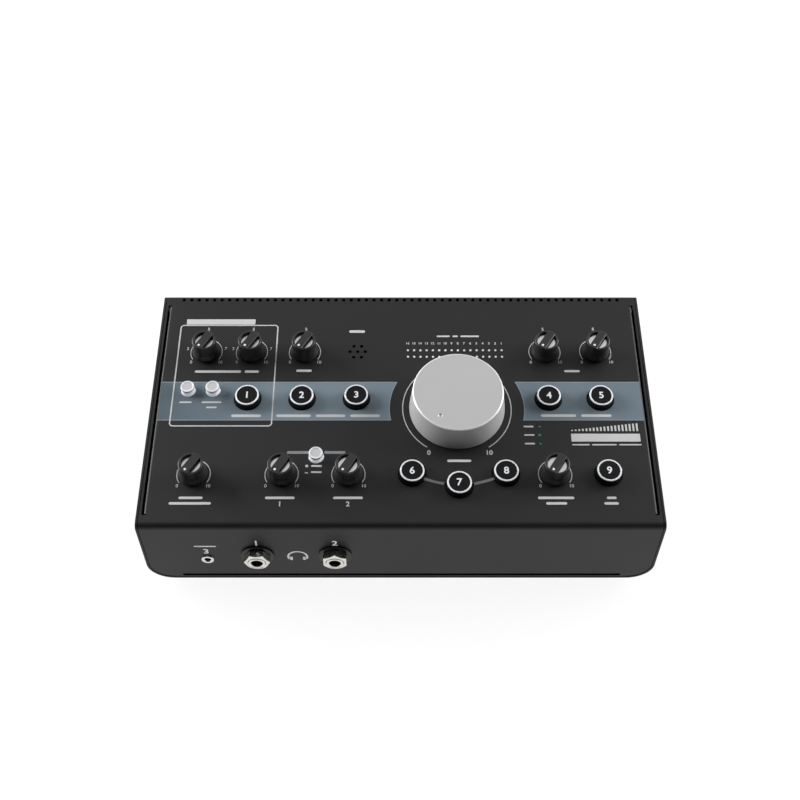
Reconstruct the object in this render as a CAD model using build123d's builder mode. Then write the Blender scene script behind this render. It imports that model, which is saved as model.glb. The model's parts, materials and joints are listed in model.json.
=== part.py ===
from build123d import *
import os
from math import atan2, cos, degrees, pi, radians, sin, tan

# Desktop studio monitor controller: a sloping sheet-metal case with ten rotary
# knobs, nine round keys and three small push switches on the top panel, headphone
# and small-plug sockets on the front and the line, USB and power sockets behind.
#
# Row frame, mm: +X to the user's right, +Y to the rear, +Z up, origin at the middle
# of the footprint, on the table. Panel frame: u to the right, v up the slope from
# the front edge, h above the outer face of the top panel.

# --- Case ---------------------------------------------------------------------
case_width = 280.0
panel_length = 152.0  # up the slope, from the front face to the rear face
front_height = 53.2  # from the tray's underside to the panel's front edge
slope_deg = 6.0
sheet = 1.2
seam = 0.35  # gap between cover and tray, and under the rear panel's top
foot_height = 3.0
foot_radius = 6.0
foot_inset = 18.0  # from the front and rear faces
foot_side_inset = 28.0  # from the sides of the case
tray_bend = 14.0  # outside radius of the tray's lower bends
front_bend = 2.3  # outside radius of the bend over the front edge
joint_margin = 0.4  # behind that bend, where the front plate meets the top cover
rear_bend = 1.8
rear_lip = 8.0  # depth of the cover's lip over the rear panel
lip_gap = 0.1  # between that lip and the rear panel
flange_depth = 12.0  # bottom flanges of the front plate and the rear panel
side_flange = 9.0  # depth of the cover's turned-down sides

# Decorative slots that follow the cover's edges
slot_width = 1.4
slot_inset = 4.0  # from the side of the case to the slot's middle
slot_start = 9.0  # from the front edge
slot_stop = 8.5  # from the rear edge
slot_eye_radius = 1.1
corner_slit = 3.5
front_slot_height = 1.7
front_slot_inset = 18.5  # from the sides of the case
front_slot_rise = 2.15  # its middle above the front plate's lower edge

# Round shapes that repeat are many-sided prisms, which keeps the whole set light
sides = 24  # of the knobs, keys, collars, inserts and feet
volume_sides = 48
few_sides = 12  # of shafts, ferrules and what is inside the case
hole_sides = 6  # of screws, microphone holes and holes under the knobs

# Row of small square vents along the rear edge
vent_count = 58
vent_pitch = 4.5
vent = 1.7
vent_inset = 3.1  # from the rear face

# --- Boards -------------------------------------------------------------------
board = 1.6
main_board_top = 17.4  # above the tray's underside
main_board_inset = 10.0  # from the sides of the case
board_edge = 3.0  # from the main board to the front and rear sheets
control_board_drop = 14.0  # from the panel's outer face down to the board
control_board_inset = 11.0  # from the sides of the case
control_board_front, control_board_rear = 8.0, 9.0  # from the front and rear edges
standoff_across = 5.5
standoff_inset = 20.0  # from the sides of the case
standoff_front, standoff_rear = 16.0, 43.0  # from the front and rear faces
stud_inset = 5.0  # from the control board's side edges
stud_front, stud_rear = 5.0, 6.0  # from the control board's front and rear edges
case_screw_x = 90.0
case_screw_inset = 7.5  # from the front and rear faces
screw_radius = 1.45
screw_gap = 0.15
screw_length = 5.5
screw_head_radius = 2.75
screw_head = 1.8

# --- Rotary knobs: (u, v) of each ------------------------------------------------
pot_travel_deg = 295.0
upper_row, lower_row = 111.4, 31.4
knob_spots = {
    "preamp_1": (-111.7, upper_row),
    "preamp_2": (-85.6, upper_row),
    "input_trim": (-55.1, upper_row),
    "monitor_a_trim": (82.8, upper_row),
    "monitor_b_trim": (112.0, upper_row),
    "direct_blend": (-111.7, lower_row),
    "phones_1_level": (-64.2, lower_row),
    "phones_2_level": (-28.2, lower_row),
    "talkback_level": (83.3, lower_row),
}
shaft_radius = 3.0
shaft_gap = 0.05  # running gap of every shaft, and of the knobs on them
shaft_flat = 1.5  # from the axis to the flat that drives the knob
shaft_foot = 12.0  # depth of a shaft's lower end under the panel
knob_gap = 0.6  # between a knob and the panel
knob_base_radius = 8.0
knob_top_radius = 7.1
knob_floor = 11.2  # height of the two lowered crescents
knob_height = 12.8
knob_bar_width = 4.8
knob_bore_top = 9.8
pot_size = 10.5
pot_body = 6.8
pot_hole_gap = 0.8  # round the shaft, to the corners of its six-sided hole in the panel

# --- Volume knob ----------------------------------------------------------------
volume_u, volume_v = 31.4, 73.5
volume_base_radius = 26.3
volume_top_radius = 24.9
volume_height = 17.6
volume_chamfer = 0.7
volume_gap = 1.0
volume_bore_top = 13.4
dimple_radius = 1.5
dimple_depth = 0.8
dimple_from_axis = 18.5
volume_pot_size = 17.0
volume_pot_body = 8.0
volume_bush_radius = 4.5
volume_bush_top = 3.4
bush_gap = 0.1
volume_nut_across = 12.0
volume_nut = 2.2
nut_room_radius = 9.0  # recess under the knob, over the nut
nut_room_top = 4.4

# --- Round keys: (u, v) of each ---------------------------------------------------
key_spots = {
    "source_1_2": (-85.8, 79.6),
    "source_3_4": (-55.3, 79.6),
    "source_usb": (-24.8, 79.8),
    "monitor_a": (82.8, 79.4),
    "monitor_b": (112.0, 79.4),
    "mono": (6.2, 31.6),
    "mute": (31.4, 24.5),
    "dim": (56.8, 31.6),
    "talkback": (112.1, 31.7),
}
key_travel = 1.2
key_base_radius = 7.5
key_top_radius = 7.1
key_height = 4.5
key_skirt = 2.4  # how far the cap reaches under the panel
key_hole_gap = 0.25
key_ear_reach = 1.3  # two ears under the sheet keep the cap in
key_ear_width = 5.0
key_ear = 1.4
ear_gap = 0.3
key_stem = 3.6
key_switch_size = 12.0
key_switch_body = 6.5

# --- Small push switches ----------------------------------------------------------
push_spots = {
    "preamp_1": (-119.7, 85.4),
    "preamp_2": (-105.7, 85.4),
    "phones_source": (-46.0, 42.6),
}
push_travel = 2.5
push_base_radius = 4.1
push_top_radius = 3.6
push_height = 5.0
push_ear_reach = 1.1
push_ear_width = 3.0
push_stem = 2.8
push_switch_size = 8.0
push_switch_body = 6.8
stem_gap = 0.15
stem_depth = 3.0  # of a key's or push switch's stem inside its switch at rest
stem_floor = 0.5  # left under the stem when it is pressed home

# --- Talkback microphone, level meter and status lights -----------------------------
mic_u, mic_v = -24.75, 111.75
mic_hole_radius = 1.0
mic_ring_radius = 4.4
mic_radius = 6.2
mic_height = 6.2
mic_foot_radius = 3.0
meter_u, meter_v = 31.2, 110.5
meter_columns, meter_pitch = 16, 3.6
meter_row_pitch = 4.5
meter_light = 1.4
light_gap = 0.15
light_strip = 1.3
light_leg = 3.0
status_u = 76.5
status_rows = (61.5, 56.1, 50.6)
status_size = 1.6
light_proud = 0.15

# --- Sockets ------------------------------------------------------------------------
plug_bore = 3.2
plug_reach = 31.8  # from the socket's mouth to the plug's tip
ferrule_radius = 4.7
ferrule_seat = 3.0  # of the ferrule inside the socket's body
front_ferrule_proud = 5.8
rear_ferrule_proud = 4.2
socket_width = 16.0
socket_height = 15.6
socket_depth = 29.0
socket_setback = 0.2  # from a sheet's inner face
nut_across = 12.7
front_nut, rear_nut = 3.0, 2.4
collar_radius = 9.5
collar = 2.4
phones_x = (-77.8, -35.6)
aux_x = -105.4
aux_bore = 1.78
aux_ring_radius = 3.5
aux_proud = 0.8
aux_height = 6.8
aux_width = 7.0
aux_depth = 15.0
line_count, first_pair = 6, 2
socket_spacing = 3.0  # between the bodies of the line sockets
pair_spacing = 7.0  # between the first pair and the others
combo_start = -107.5  # x of the first combined socket, where the rear row begins
combo_spacing, line_spacing = 4.0, 6.5  # after a combined socket's body
combo_size = 26.0
combo_nose_radius = 11.8
combo_proud = 1.2
combo_body = 34.0
combo_ring_radius = 9.7
combo_ring_depth = 12.0
combo_insert_radius = 7.95
combo_insert_depth = 26.0
combo_insert_setback = 0.5
pin_hole_radius = 1.25
pin_circle_radius = 5.9
pin_hole_depth = 12.0
fit_gap = 0.1  # of sockets in their holes
usb_spacing = 9.0  # after the last line socket
usb_width, usb_height = 12.0, 10.8
usb_mouth_width, usb_mouth_height = 8.5, 7.8
usb_tongue_width, usb_tongue_height = 5.6, 3.2
usb_depth, usb_cavity = 16.0, 10.0
usb_proud = 0.6
inlet_spacing = 9.5  # after the USB socket
inlet_width, inlet_height = 9.0, 11.0
inlet_bore, inlet_pin = 3.2, 1.0
inlet_depth, inlet_cavity = 14.0, 9.5
inlet_proud = 0.4

# --- Power switch ---------------------------------------------------------------------
switch_spacing = 9.5  # after the power inlet
switch_z = 30.5  # above the tray's underside
switch_flange_width, switch_flange_height = 16.0, 23.0
switch_flange = 1.5
switch_body_width, switch_body_height = 13.8, 20.6
switch_body = 14.0
switch_mouth_width, switch_mouth_height = 11.4, 18.4
switch_mouth_depth = 7.4
rocker_width = 11.0
rocker_half = 8.2
rocker_shoulder, rocker_waist = 5.2, 3.7  # above the pivot, at the ends and the middle
rocker_under = 2.0
rocker_tilt_deg = 8.0
rocker_pivot_depth = 2.5  # behind the rear panel's outer face
trunnion_radius = 1.2
trunnion_length = 1.1

# --- Ribbon cable and what stands on the boards ------------------------------------------
ribbon_u, ribbon_v = 80.0, 92.0
ribbon_width = 25.4
ribbon = 0.9
ribbon_shift = 12.0
ribbon_straight = 6.0
ribbon_bend = 3.5
header_length, header_width, header_height = 30.0, 8.5, 6.0
chip, chip_height = 10.0, 1.8
chip_columns, chip_rows = 4, 2
chip_pitch_x, chip_pitch_y = 24.0, 17.0
capacitor_radius, capacitor_height = 4.0, 11.0
capacitor_pitch = 13.0

# --- Places worked out from the sizes above ------------------------------------------------
slope = radians(slope_deg)
case_depth = panel_length * cos(slope)
rear_face_setback = sheet + lip_gap
rear_proud = rear_ferrule_proud - rear_face_setback
y_front = -(case_depth + rear_proud - front_ferrule_proud) / 2
y_rear = y_front + case_depth
y_panel_rear = y_rear - rear_face_setback
z_edge = foot_height + front_height
tray_floor = foot_height + sheet
cover_width = case_width - 2 * (sheet + seam)  # of the front plate, top cover and rear panel
cover_bottom = tray_floor + seam
cover_bend = tray_bend - sheet - seam
slot_end = panel_length - slot_stop
board_z = foot_height + main_board_top
board_under = control_board_drop + board
control_board_end = panel_length - control_board_rear
control_board_u = case_width / 2 - control_board_inset

combo_pitch = combo_size + combo_spacing
combo_x = (combo_start, combo_start + combo_pitch)
line_start = combo_x[-1] + combo_size / 2 + line_spacing + socket_width / 2
line_pitch = socket_width + socket_spacing
pair_shift = pair_spacing - socket_spacing
line_x = [line_start + i * line_pitch + (i >= first_pair) * pair_shift for i in range(line_count)]
usb_x = line_x[-1] + socket_width / 2 + usb_spacing + usb_width / 2
inlet_x = usb_x + usb_width / 2 + inlet_spacing + inlet_width / 2
switch_x = inlet_x + inlet_width / 2 + switch_spacing + switch_flange_width / 2

front = Plane(origin=(0, y_front, 0), x_dir=(1, 0, 0), z_dir=(0, -1, 0))
rear = Plane(origin=(0, y_panel_rear, 0), x_dir=(-1, 0, 0), z_dir=(0, 1, 0))
panel = Plane(origin=(0, y_front, z_edge), x_dir=(1, 0, 0), z_dir=(0, -sin(slope), cos(slope)))
pointer_deg = 270.0 - (360.0 - pot_travel_deg) / 2  # from +u, at the low end of the travel


def panel_z(y, depth=0.0):
    """Height at y of the plane that lies depth under the top panel's outer face."""
    return z_edge + (y - y_front) * tan(slope) - depth / cos(slope)


def turned(plane, angle_deg):
    """The plane turned about its own normal."""
    angle = radians(angle_deg)
    x_dir = plane.x_dir * cos(angle) + plane.y_dir * sin(angle)
    return Plane(origin=plane.origin, x_dir=x_dir, z_dir=plane.z_dir)


def on_panel(u, v, turn=0.0):
    """Plane of the top panel with its origin at u, v and its x axis turned by turn degrees."""
    origin = panel.from_local_coords(Vector(u, v, 0))
    return turned(Plane(origin=origin, x_dir=panel.x_dir, z_dir=panel.z_dir), turn)


def on_front(x, z):
    """Plane of the front face with its origin at x, z."""
    return Plane(origin=(x, y_front, z), x_dir=(1, 0, 0), z_dir=(0, -1, 0))


def on_rear(x, z):
    """Plane of the rear panel's outer face with its origin at x, z."""
    return Plane(origin=(x, y_panel_rear, z), x_dir=(-1, 0, 0), z_dir=(0, 1, 0))


def flank(bottom_radius, top_radius, height, corners):
    """Taper in degrees that brings a many-sided prism from one radius to the other."""
    return degrees(atan2((bottom_radius - top_radius) * cos(pi / corners), height))


def save(piece, name):
    """Label a finished piece and write its STEP file."""
    piece.label = name
    export_step(piece, f"parts/{name}.step")


os.makedirs("parts", exist_ok=True)

socket_z = board_z + socket_height / 2
combo_z = board_z + combo_size / 2
usb_z = board_z + usb_height / 2
inlet_z = board_z + inlet_height / 2
aux_z = board_z + aux_height / 2
rocker_z = foot_height + switch_z
standoff_x = case_width / 2 - standoff_inset
standoff_rows = (y_front + standoff_front, y_rear - standoff_rear)
standoff_spots = [(x, y) for y in standoff_rows for x in (-standoff_x, 0, standoff_x)]
stud_u = control_board_u - stud_inset
stud_rows = (control_board_front + stud_front, control_board_end - stud_rear)
stud_spots = [(u, v) for v in stud_rows for u in (-stud_u, 0, stud_u)]
case_screw_rows = (y_front + case_screw_inset, y_rear - case_screw_inset)
case_screw_spots = [(x, y) for y in case_screw_rows for x in (-case_screw_x, 0, case_screw_x)]


# --- Tray: one sheet folded up at both sides, its edges showing round the cover ------------
tall = 2 * (front_height + case_depth * tan(slope))  # higher than any wall before its cut
with BuildPart() as base_tray:
    with BuildSketch(front):
        with Locations((0, foot_height)):
            Rectangle(case_width, tall, align=(Align.CENTER, Align.MIN))
        fillet(vertices().group_by(Axis.Y)[0], radius=tray_bend)
    extrude(amount=-case_depth)
    with BuildSketch(front):
        with Locations((0, tray_floor)):
            Rectangle(case_width - 2 * sheet, tall, align=(Align.CENTER, Align.MIN))
        fillet(vertices().group_by(Axis.Y)[0], radius=tray_bend - sheet)
    extrude(amount=-case_depth, mode=Mode.SUBTRACT)
    split(bisect_by=panel, keep=Keep.BOTTOM)
    wall_corners = edges().filter_by(Axis.X).filter_by(lambda edge: edge.length < 2 * sheet)
    fillet(wall_corners.sort_by(Axis.Y)[:2], radius=front_bend)
    wall_corners = edges().filter_by(Axis.X).filter_by(lambda edge: edge.length < 2 * sheet)
    fillet(wall_corners.sort_by(Axis.Y)[-2:], radius=rear_bend)
    with BuildSketch(Plane.XY.offset(foot_height)):
        with Locations(*case_screw_spots):
            RegularPolygon(screw_radius + screw_gap, hole_sides, major_radius=False)
    extrude(amount=sheet, mode=Mode.SUBTRACT)
save(base_tray.part, "base_tray")

# --- Front plate: bottom flange, front face and the bend up onto the panel --------------------
front_corner = (y_front, panel_z(y_front))
front_inside = (y_front + sheet, panel_z(y_front + sheet, sheet))
joint_v = front_bend + joint_margin
joint_points = [panel.from_local_coords(Vector(0, joint_v, h)) for h in (0, -sheet)]
joint_top, joint_under = [(point.Y, point.Z) for point in joint_points]
with BuildPart() as front_plate:
    with BuildSketch(Plane.YZ.offset(-cover_width / 2)):
        with BuildLine():
            Polyline(
                (y_front, cover_bottom),
                front_corner,
                joint_top,
                joint_under,
                front_inside,
                (y_front + sheet, cover_bottom + sheet),
                (y_front + flange_depth, cover_bottom + sheet),
                (y_front + flange_depth, cover_bottom),
                close=True,
            )
        make_face()
        fillet(vertices().sort_by_distance(front_corner)[0], radius=front_bend)
        fillet(vertices().sort_by_distance(front_inside)[0], radius=front_bend - sheet)
    extrude(amount=cover_width)
    with BuildSketch(front):
        with Locations((0, cover_bottom)):
            Rectangle(cover_width, tall, align=(Align.CENTER, Align.MIN))
        fillet(vertices().group_by(Axis.Y)[0], radius=cover_bend)
    extrude(amount=-case_depth, mode=Mode.INTERSECT)
    with BuildSketch(front):
        with Locations((0, cover_bottom + front_slot_rise)):
            Rectangle(case_width - 2 * front_slot_inset, front_slot_height)
        with Locations(*[(x, socket_z) for x in phones_x]):
            Circle(ferrule_radius + fit_gap)
        with Locations((aux_x, aux_z)):
            Circle(aux_ring_radius + fit_gap)
    extrude(amount=-2 * sheet, mode=Mode.SUBTRACT)
    with BuildSketch(Plane.XY.offset(cover_bottom)):
        with Locations(*case_screw_spots[:3]):
            RegularPolygon(screw_radius + screw_gap, hole_sides, major_radius=False)
    extrude(amount=sheet, mode=Mode.SUBTRACT)
save(front_plate.part, "front_plate")

# --- Top cover: the sloping panel, its rear lip and its turned-down sides ------------------------
rear_corner = (y_rear, panel_z(y_rear))
rear_inside = (y_rear - sheet, panel_z(y_rear - sheet, sheet))
slot_u = case_width / 2 - slot_inset
# (radius, corners, places) of the holes for the controls
top_holes = (
    (shaft_radius + pot_hole_gap, hole_sides, list(knob_spots.values())),
    (volume_bush_radius + bush_gap, few_sides, [(volume_u, volume_v)]),
    (key_base_radius + key_hole_gap, sides, list(key_spots.values())),
    (push_base_radius + key_hole_gap, sides, list(push_spots.values())),
)
with BuildPart() as top_cover:
    with BuildSketch(Plane.YZ.offset(-cover_width / 2)):
        with BuildLine():
            Polyline(
                joint_top,
                rear_corner,
                (y_rear, rear_corner[1] - rear_lip),
                (y_rear - sheet, rear_corner[1] - rear_lip),
                rear_inside,
                joint_under,
                close=True,
            )
        make_face()
        fillet(vertices().sort_by_distance(rear_corner)[0], radius=rear_bend)
        fillet(vertices().sort_by_distance(rear_inside)[0], radius=rear_bend - sheet)
    extrude(amount=cover_width)
    with BuildSketch(panel.offset(-side_flange)):
        with Locations((0, (slot_start + slot_end) / 2)):
            with GridLocations(cover_width - sheet, 1, 2, 1):
                Rectangle(sheet, slot_end - slot_start)
    extrude(amount=side_flange - sheet / 2)
    with BuildSketch(panel):
        for radius, corners, spots in top_holes:
            with Locations(*spots):
                RegularPolygon(radius, corners)
        for side in (-slot_u, slot_u):
            with Locations((side, (slot_start + slot_end) / 2)):
                Rectangle(slot_width, slot_end - slot_start - 2 * slot_eye_radius)
            with Locations((side, slot_start + slot_eye_radius), (side, slot_end - slot_eye_radius)):
                RegularPolygon(slot_eye_radius, few_sides)
            with Locations((side, joint_v)):
                Rectangle(slot_width / 2, corner_slit, align=(Align.CENTER, Align.MIN))
        with Locations((0, panel_length - vent_inset)):
            with GridLocations(vent_pitch, 1, vent_count, 1):
                Rectangle(vent, vent)
        with Locations((mic_u, mic_v)):
            RegularPolygon(mic_hole_radius, hole_sides)
            with PolarLocations(mic_ring_radius, 6):
                RegularPolygon(mic_hole_radius, hole_sides)
        with Locations((meter_u, meter_v)):
            with GridLocations(meter_pitch, meter_row_pitch, meter_columns, 2):
                Rectangle(meter_light + 2 * light_gap, meter_light + 2 * light_gap)
        with Locations(*[(status_u, v) for v in status_rows]):
            Rectangle(status_size + 2 * light_gap, status_size + 2 * light_gap)
    extrude(amount=-2 * sheet, mode=Mode.SUBTRACT)
save(top_cover.part, "top_cover")

# --- Rear panel: flat sheet inside the cover's lip, with a bottom flange ----------------------
with BuildPart() as rear_panel:
    panel_top = panel_z(y_panel_rear - sheet, sheet) - seam
    with BuildSketch(rear):
        with Locations((0, cover_bottom)):
            Rectangle(cover_width, panel_top - cover_bottom, align=(Align.CENTER, Align.MIN))
        fillet(vertices().group_by(Axis.Y)[0], radius=cover_bend)
    extrude(amount=-sheet)
    with BuildSketch(Plane.XY.offset(cover_bottom)):
        with Locations((0, y_panel_rear)):
            Rectangle(case_width - 2 * tray_bend, flange_depth, align=(Align.CENTER, Align.MAX))
        with Locations(*case_screw_spots[3:]):
            RegularPolygon(screw_radius + screw_gap, hole_sides, major_radius=False, mode=Mode.SUBTRACT)
    extrude(amount=sheet)
    with BuildSketch(rear):
        with Locations(*[(-x, socket_z) for x in line_x]):
            Circle(ferrule_radius + fit_gap)
        with Locations(*[(-x, combo_z) for x in combo_x]):
            Circle(combo_nose_radius + fit_gap)
        with Locations((-usb_x, usb_z)):
            Rectangle(usb_width + 2 * fit_gap, usb_height + 2 * fit_gap)
        with Locations((-inlet_x, inlet_z)):
            Rectangle(inlet_width + 2 * fit_gap, inlet_height + 2 * fit_gap)
        with Locations((-switch_x, rocker_z)):
            Rectangle(switch_body_width + 2 * fit_gap, switch_body_height + 2 * fit_gap)
    extrude(amount=-sheet, mode=Mode.SUBTRACT)
save(rear_panel.part, "rear_panel")

# --- Feet and screws -----------------------------------------------------------------------------
with BuildPart() as rubber_feet:
    foot_x = case_width / 2 - foot_side_inset
    with BuildSketch():
        for x in (-foot_x, foot_x):
            with Locations((x, y_front + foot_inset), (x, y_rear - foot_inset)):
                RegularPolygon(foot_radius, sides)
    extrude(amount=foot_height)
save(rubber_feet.part, "rubber_feet")

with BuildPart() as case_screws:
    with BuildSketch(Plane.XY.offset(foot_height)):
        with Locations(*case_screw_spots):
            RegularPolygon(screw_head_radius, hole_sides)
    extrude(amount=-screw_head)
    with BuildSketch(Plane.XY.offset(foot_height)):
        with Locations(*case_screw_spots):
            RegularPolygon(screw_radius, hole_sides)
    extrude(amount=screw_length)
save(case_screws.part, "case_screws")

# --- Boards, their standoffs and what is soldered on ---------------------------------------------
with BuildPart() as main_board:
    board_rows = (y_front + sheet + board_edge, y_panel_rear - sheet - board_edge)
    with BuildSketch(Plane.XY.offset(board_z)):
        with Locations((0, sum(board_rows) / 2)):
            Rectangle(case_width - 2 * main_board_inset, board_rows[1] - board_rows[0])
    extrude(amount=-board)
save(main_board.part, "main_board")

with BuildPart() as control_board:
    with BuildSketch(panel.offset(-control_board_drop)):
        with Locations((0, (control_board_front + control_board_end) / 2)):
            Rectangle(2 * control_board_u, control_board_end - control_board_front)
    extrude(amount=-board)
save(control_board.part, "control_board")

with BuildPart() as board_standoffs:
    with BuildSketch(Plane.XY.offset(tray_floor)):
        with Locations(*standoff_spots):
            RegularPolygon(standoff_across / 2, 6, major_radius=False)
    extrude(amount=board_z - board - tray_floor)
    with BuildSketch(panel.offset(-control_board_drop)):
        with Locations(*stud_spots):
            RegularPolygon(standoff_across / 2, 6, major_radius=False)
    extrude(amount=control_board_drop - sheet)
save(board_standoffs.part, "board_standoffs")

header_foot = panel.from_local_coords(Vector(ribbon_u, ribbon_v, -board_under - header_height))
lower_header_y = header_foot.Y - ribbon_shift
with BuildPart() as board_components:
    with BuildSketch(Plane.XY.offset(board_z)):
        with GridLocations(chip_pitch_x, chip_pitch_y, chip_columns, chip_rows):
            Rectangle(chip, chip)
    extrude(amount=chip_height)
    with BuildSketch(Plane.XY.offset(board_z)):
        with Locations((chip_pitch_x - standoff_x, 0)):
            with GridLocations(capacitor_pitch, capacitor_pitch, 2, 2):
                RegularPolygon(capacitor_radius, few_sides)
    extrude(amount=capacitor_height)
    with BuildSketch(Plane.XY.offset(board_z)):
        with Locations((ribbon_u, lower_header_y)):
            Rectangle(header_length, header_width)
    extrude(amount=header_height)
    with BuildSketch(panel.offset(-board_under)):
        with Locations((ribbon_u, ribbon_v)):
            Rectangle(header_length, header_width)
    extrude(amount=-header_height)
save(board_components.part, "board_components")

with BuildPart() as ribbon_cable:
    ribbon_top = (header_foot.Y, header_foot.Z)
    under_header = (
        header_foot.Y + ribbon_straight * sin(slope),
        header_foot.Z - ribbon_straight * cos(slope),
    )
    with BuildSketch(Plane.YZ.offset(ribbon_u - ribbon_width / 2)):
        with BuildLine():
            FilletPolyline(
                (lower_header_y, board_z + header_height),
                (lower_header_y, board_z + header_height + ribbon_straight),
                under_header,
                ribbon_top,
                radius=ribbon_bend,
            )
        trace(line_width=ribbon)
    extrude(amount=ribbon_width)
save(ribbon_cable.part, "ribbon_cable")

# --- Potentiometers --------------------------------------------------------------------------------
with BuildPart() as knob_pots:
    with BuildSketch(panel.offset(-control_board_drop)):
        with Locations(*knob_spots.values()):
            Rectangle(pot_size, pot_size)
    extrude(amount=pot_body)
    with BuildSketch(panel.offset(-shaft_foot)):
        with Locations(*knob_spots.values()):
            RegularPolygon(shaft_radius + shaft_gap, few_sides, major_radius=False)
    extrude(amount=shaft_foot, mode=Mode.SUBTRACT)
save(knob_pots.part, "knob_pots")

with BuildPart() as volume_pot:
    volume_spot = Locations((volume_u, volume_v))
    with BuildSketch(panel.offset(-control_board_drop)):
        with volume_spot:
            Rectangle(volume_pot_size, volume_pot_size)
            chamfer(vertices(), length=volume_pot_size / 8)
    extrude(amount=volume_pot_body)
    with BuildSketch(panel.offset(-control_board_drop)):
        with volume_spot:
            RegularPolygon(volume_bush_radius, few_sides)
    extrude(amount=control_board_drop + volume_bush_top)
    with BuildSketch(panel.offset(-shaft_foot)):
        with volume_spot:
            RegularPolygon(shaft_radius + shaft_gap, few_sides, major_radius=False)
    extrude(amount=shaft_foot + volume_bush_top, mode=Mode.SUBTRACT)
save(volume_pot.part, "volume_pot")


def make_shaft(seat, flat_bottom, top):
    """A pot's shaft, flatted above flat_bottom on the pointer's side."""
    with BuildPart() as shaft:
        with BuildSketch(seat.offset(-shaft_foot)):
            RegularPolygon(shaft_radius, few_sides)
        extrude(amount=shaft_foot + top)
        with BuildSketch(seat.offset(flat_bottom)):
            with Locations((shaft_flat, 0)):
                Rectangle(shaft_radius, 2 * shaft_radius, align=(Align.MIN, Align.CENTER))
        extrude(amount=top - flat_bottom, mode=Mode.SUBTRACT)
    return shaft.part


def make_knob(seat):
    """A small knob: tapered body, its top cut down on both sides of a raised pointer bar."""
    body_height = knob_height - knob_gap
    with BuildPart() as knob:
        with BuildSketch(seat.offset(knob_gap)):
            RegularPolygon(knob_base_radius, sides)
        extrude(amount=body_height, taper=flank(knob_base_radius, knob_top_radius, body_height, sides))
        with BuildSketch(seat.offset(knob_floor)):
            Rectangle(2 * knob_base_radius, 2 * knob_base_radius)
            Rectangle(2 * knob_base_radius, knob_bar_width, mode=Mode.SUBTRACT)
        extrude(amount=knob_height - knob_floor, mode=Mode.SUBTRACT)
        with BuildSketch(seat.offset(knob_gap)):
            RegularPolygon(shaft_radius + shaft_gap, few_sides)
            with Locations((shaft_flat + shaft_gap, 0)):
                Rectangle(shaft_radius, 3 * shaft_radius, align=(Align.MIN, Align.CENTER), mode=Mode.SUBTRACT)
        extrude(amount=knob_bore_top - knob_gap, mode=Mode.SUBTRACT)
    return knob.part


for name, (u, v) in knob_spots.items():
    seat = on_panel(u, v, pointer_deg)
    save(make_knob(seat), f"{name}_knob")
    save(make_shaft(seat, knob_gap / 2, knob_bore_top - knob_gap / 2), f"{name}_shaft")

# --- Volume knob: turned, with a chamfered crown, a finger dimple and room for the nut ---------------
volume_seat = on_panel(volume_u, volume_v, pointer_deg)
with BuildPart() as volume_knob:
    body_height = volume_height - volume_chamfer - volume_gap
    body_flank = flank(volume_base_radius, volume_top_radius, body_height, volume_sides)
    with BuildSketch(volume_seat.offset(volume_gap)):
        RegularPolygon(volume_base_radius, volume_sides)
    extrude(amount=body_height, taper=body_flank)
    with BuildSketch(volume_seat.offset(volume_height - volume_chamfer)):
        RegularPolygon(volume_top_radius, volume_sides)
    extrude(amount=volume_chamfer, taper=45)
    with BuildSketch(volume_seat.offset(volume_height)):
        with Locations((dimple_from_axis, 0)):
            RegularPolygon(dimple_radius, few_sides)
    extrude(amount=-dimple_depth, taper=45, mode=Mode.SUBTRACT)
    with BuildSketch(volume_seat.offset(volume_gap)):
        RegularPolygon(nut_room_radius, sides)
    extrude(amount=nut_room_top - volume_gap, mode=Mode.SUBTRACT)
    with BuildSketch(volume_seat.offset(volume_gap)):
        RegularPolygon(shaft_radius + shaft_gap, few_sides)
        with Locations((shaft_flat + shaft_gap, 0)):
            Rectangle(shaft_radius, 3 * shaft_radius, align=(Align.MIN, Align.CENTER), mode=Mode.SUBTRACT)
    extrude(amount=volume_bore_top - volume_gap, mode=Mode.SUBTRACT)
save(volume_knob.part, "volume_knob")
save(make_shaft(volume_seat, nut_room_top - knob_gap, volume_bore_top - knob_gap / 2), "volume_shaft")

# --- Keys and push switches --------------------------------------------------------------------------
key_switch_top = control_board_drop - key_switch_body
push_switch_top = control_board_drop - push_switch_body


def make_cap(seat, base_radius, top_radius, height, ear_size, stem, switch_top):
    """A tapered push cap with two ears under the sheet and a stem down into its switch."""
    ear_bottom = -(sheet + ear_gap + key_ear)
    cap_height = key_skirt + height
    with BuildPart() as cap:
        with BuildSketch(seat.offset(-key_skirt)):
            RegularPolygon(base_radius, sides)
        extrude(amount=cap_height, taper=flank(base_radius, top_radius, cap_height, sides))
        with BuildSketch(seat.offset(ear_bottom)):
            Rectangle(*ear_size)
        extrude(amount=key_ear)
        with BuildSketch(seat.offset(-switch_top - stem_depth)):
            Rectangle(stem, stem)
        extrude(amount=switch_top + stem_depth + ear_bottom)
    return cap.part


key_ears = (2 * (key_base_radius + key_ear_reach), key_ear_width)
for name, (u, v) in key_spots.items():
    cap = make_cap(
        on_panel(u, v), key_base_radius, key_top_radius, key_height, key_ears, key_stem, key_switch_top
    )
    save(cap, f"{name}_key")

push_ears = (2 * (push_base_radius + push_ear_reach), push_ear_width)
for name, (u, v) in push_spots.items():
    cap = make_cap(
        on_panel(u, v), push_base_radius, push_top_radius, push_height, push_ears, push_stem, push_switch_top
    )
    save(cap, f"{name}_push_button")

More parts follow.
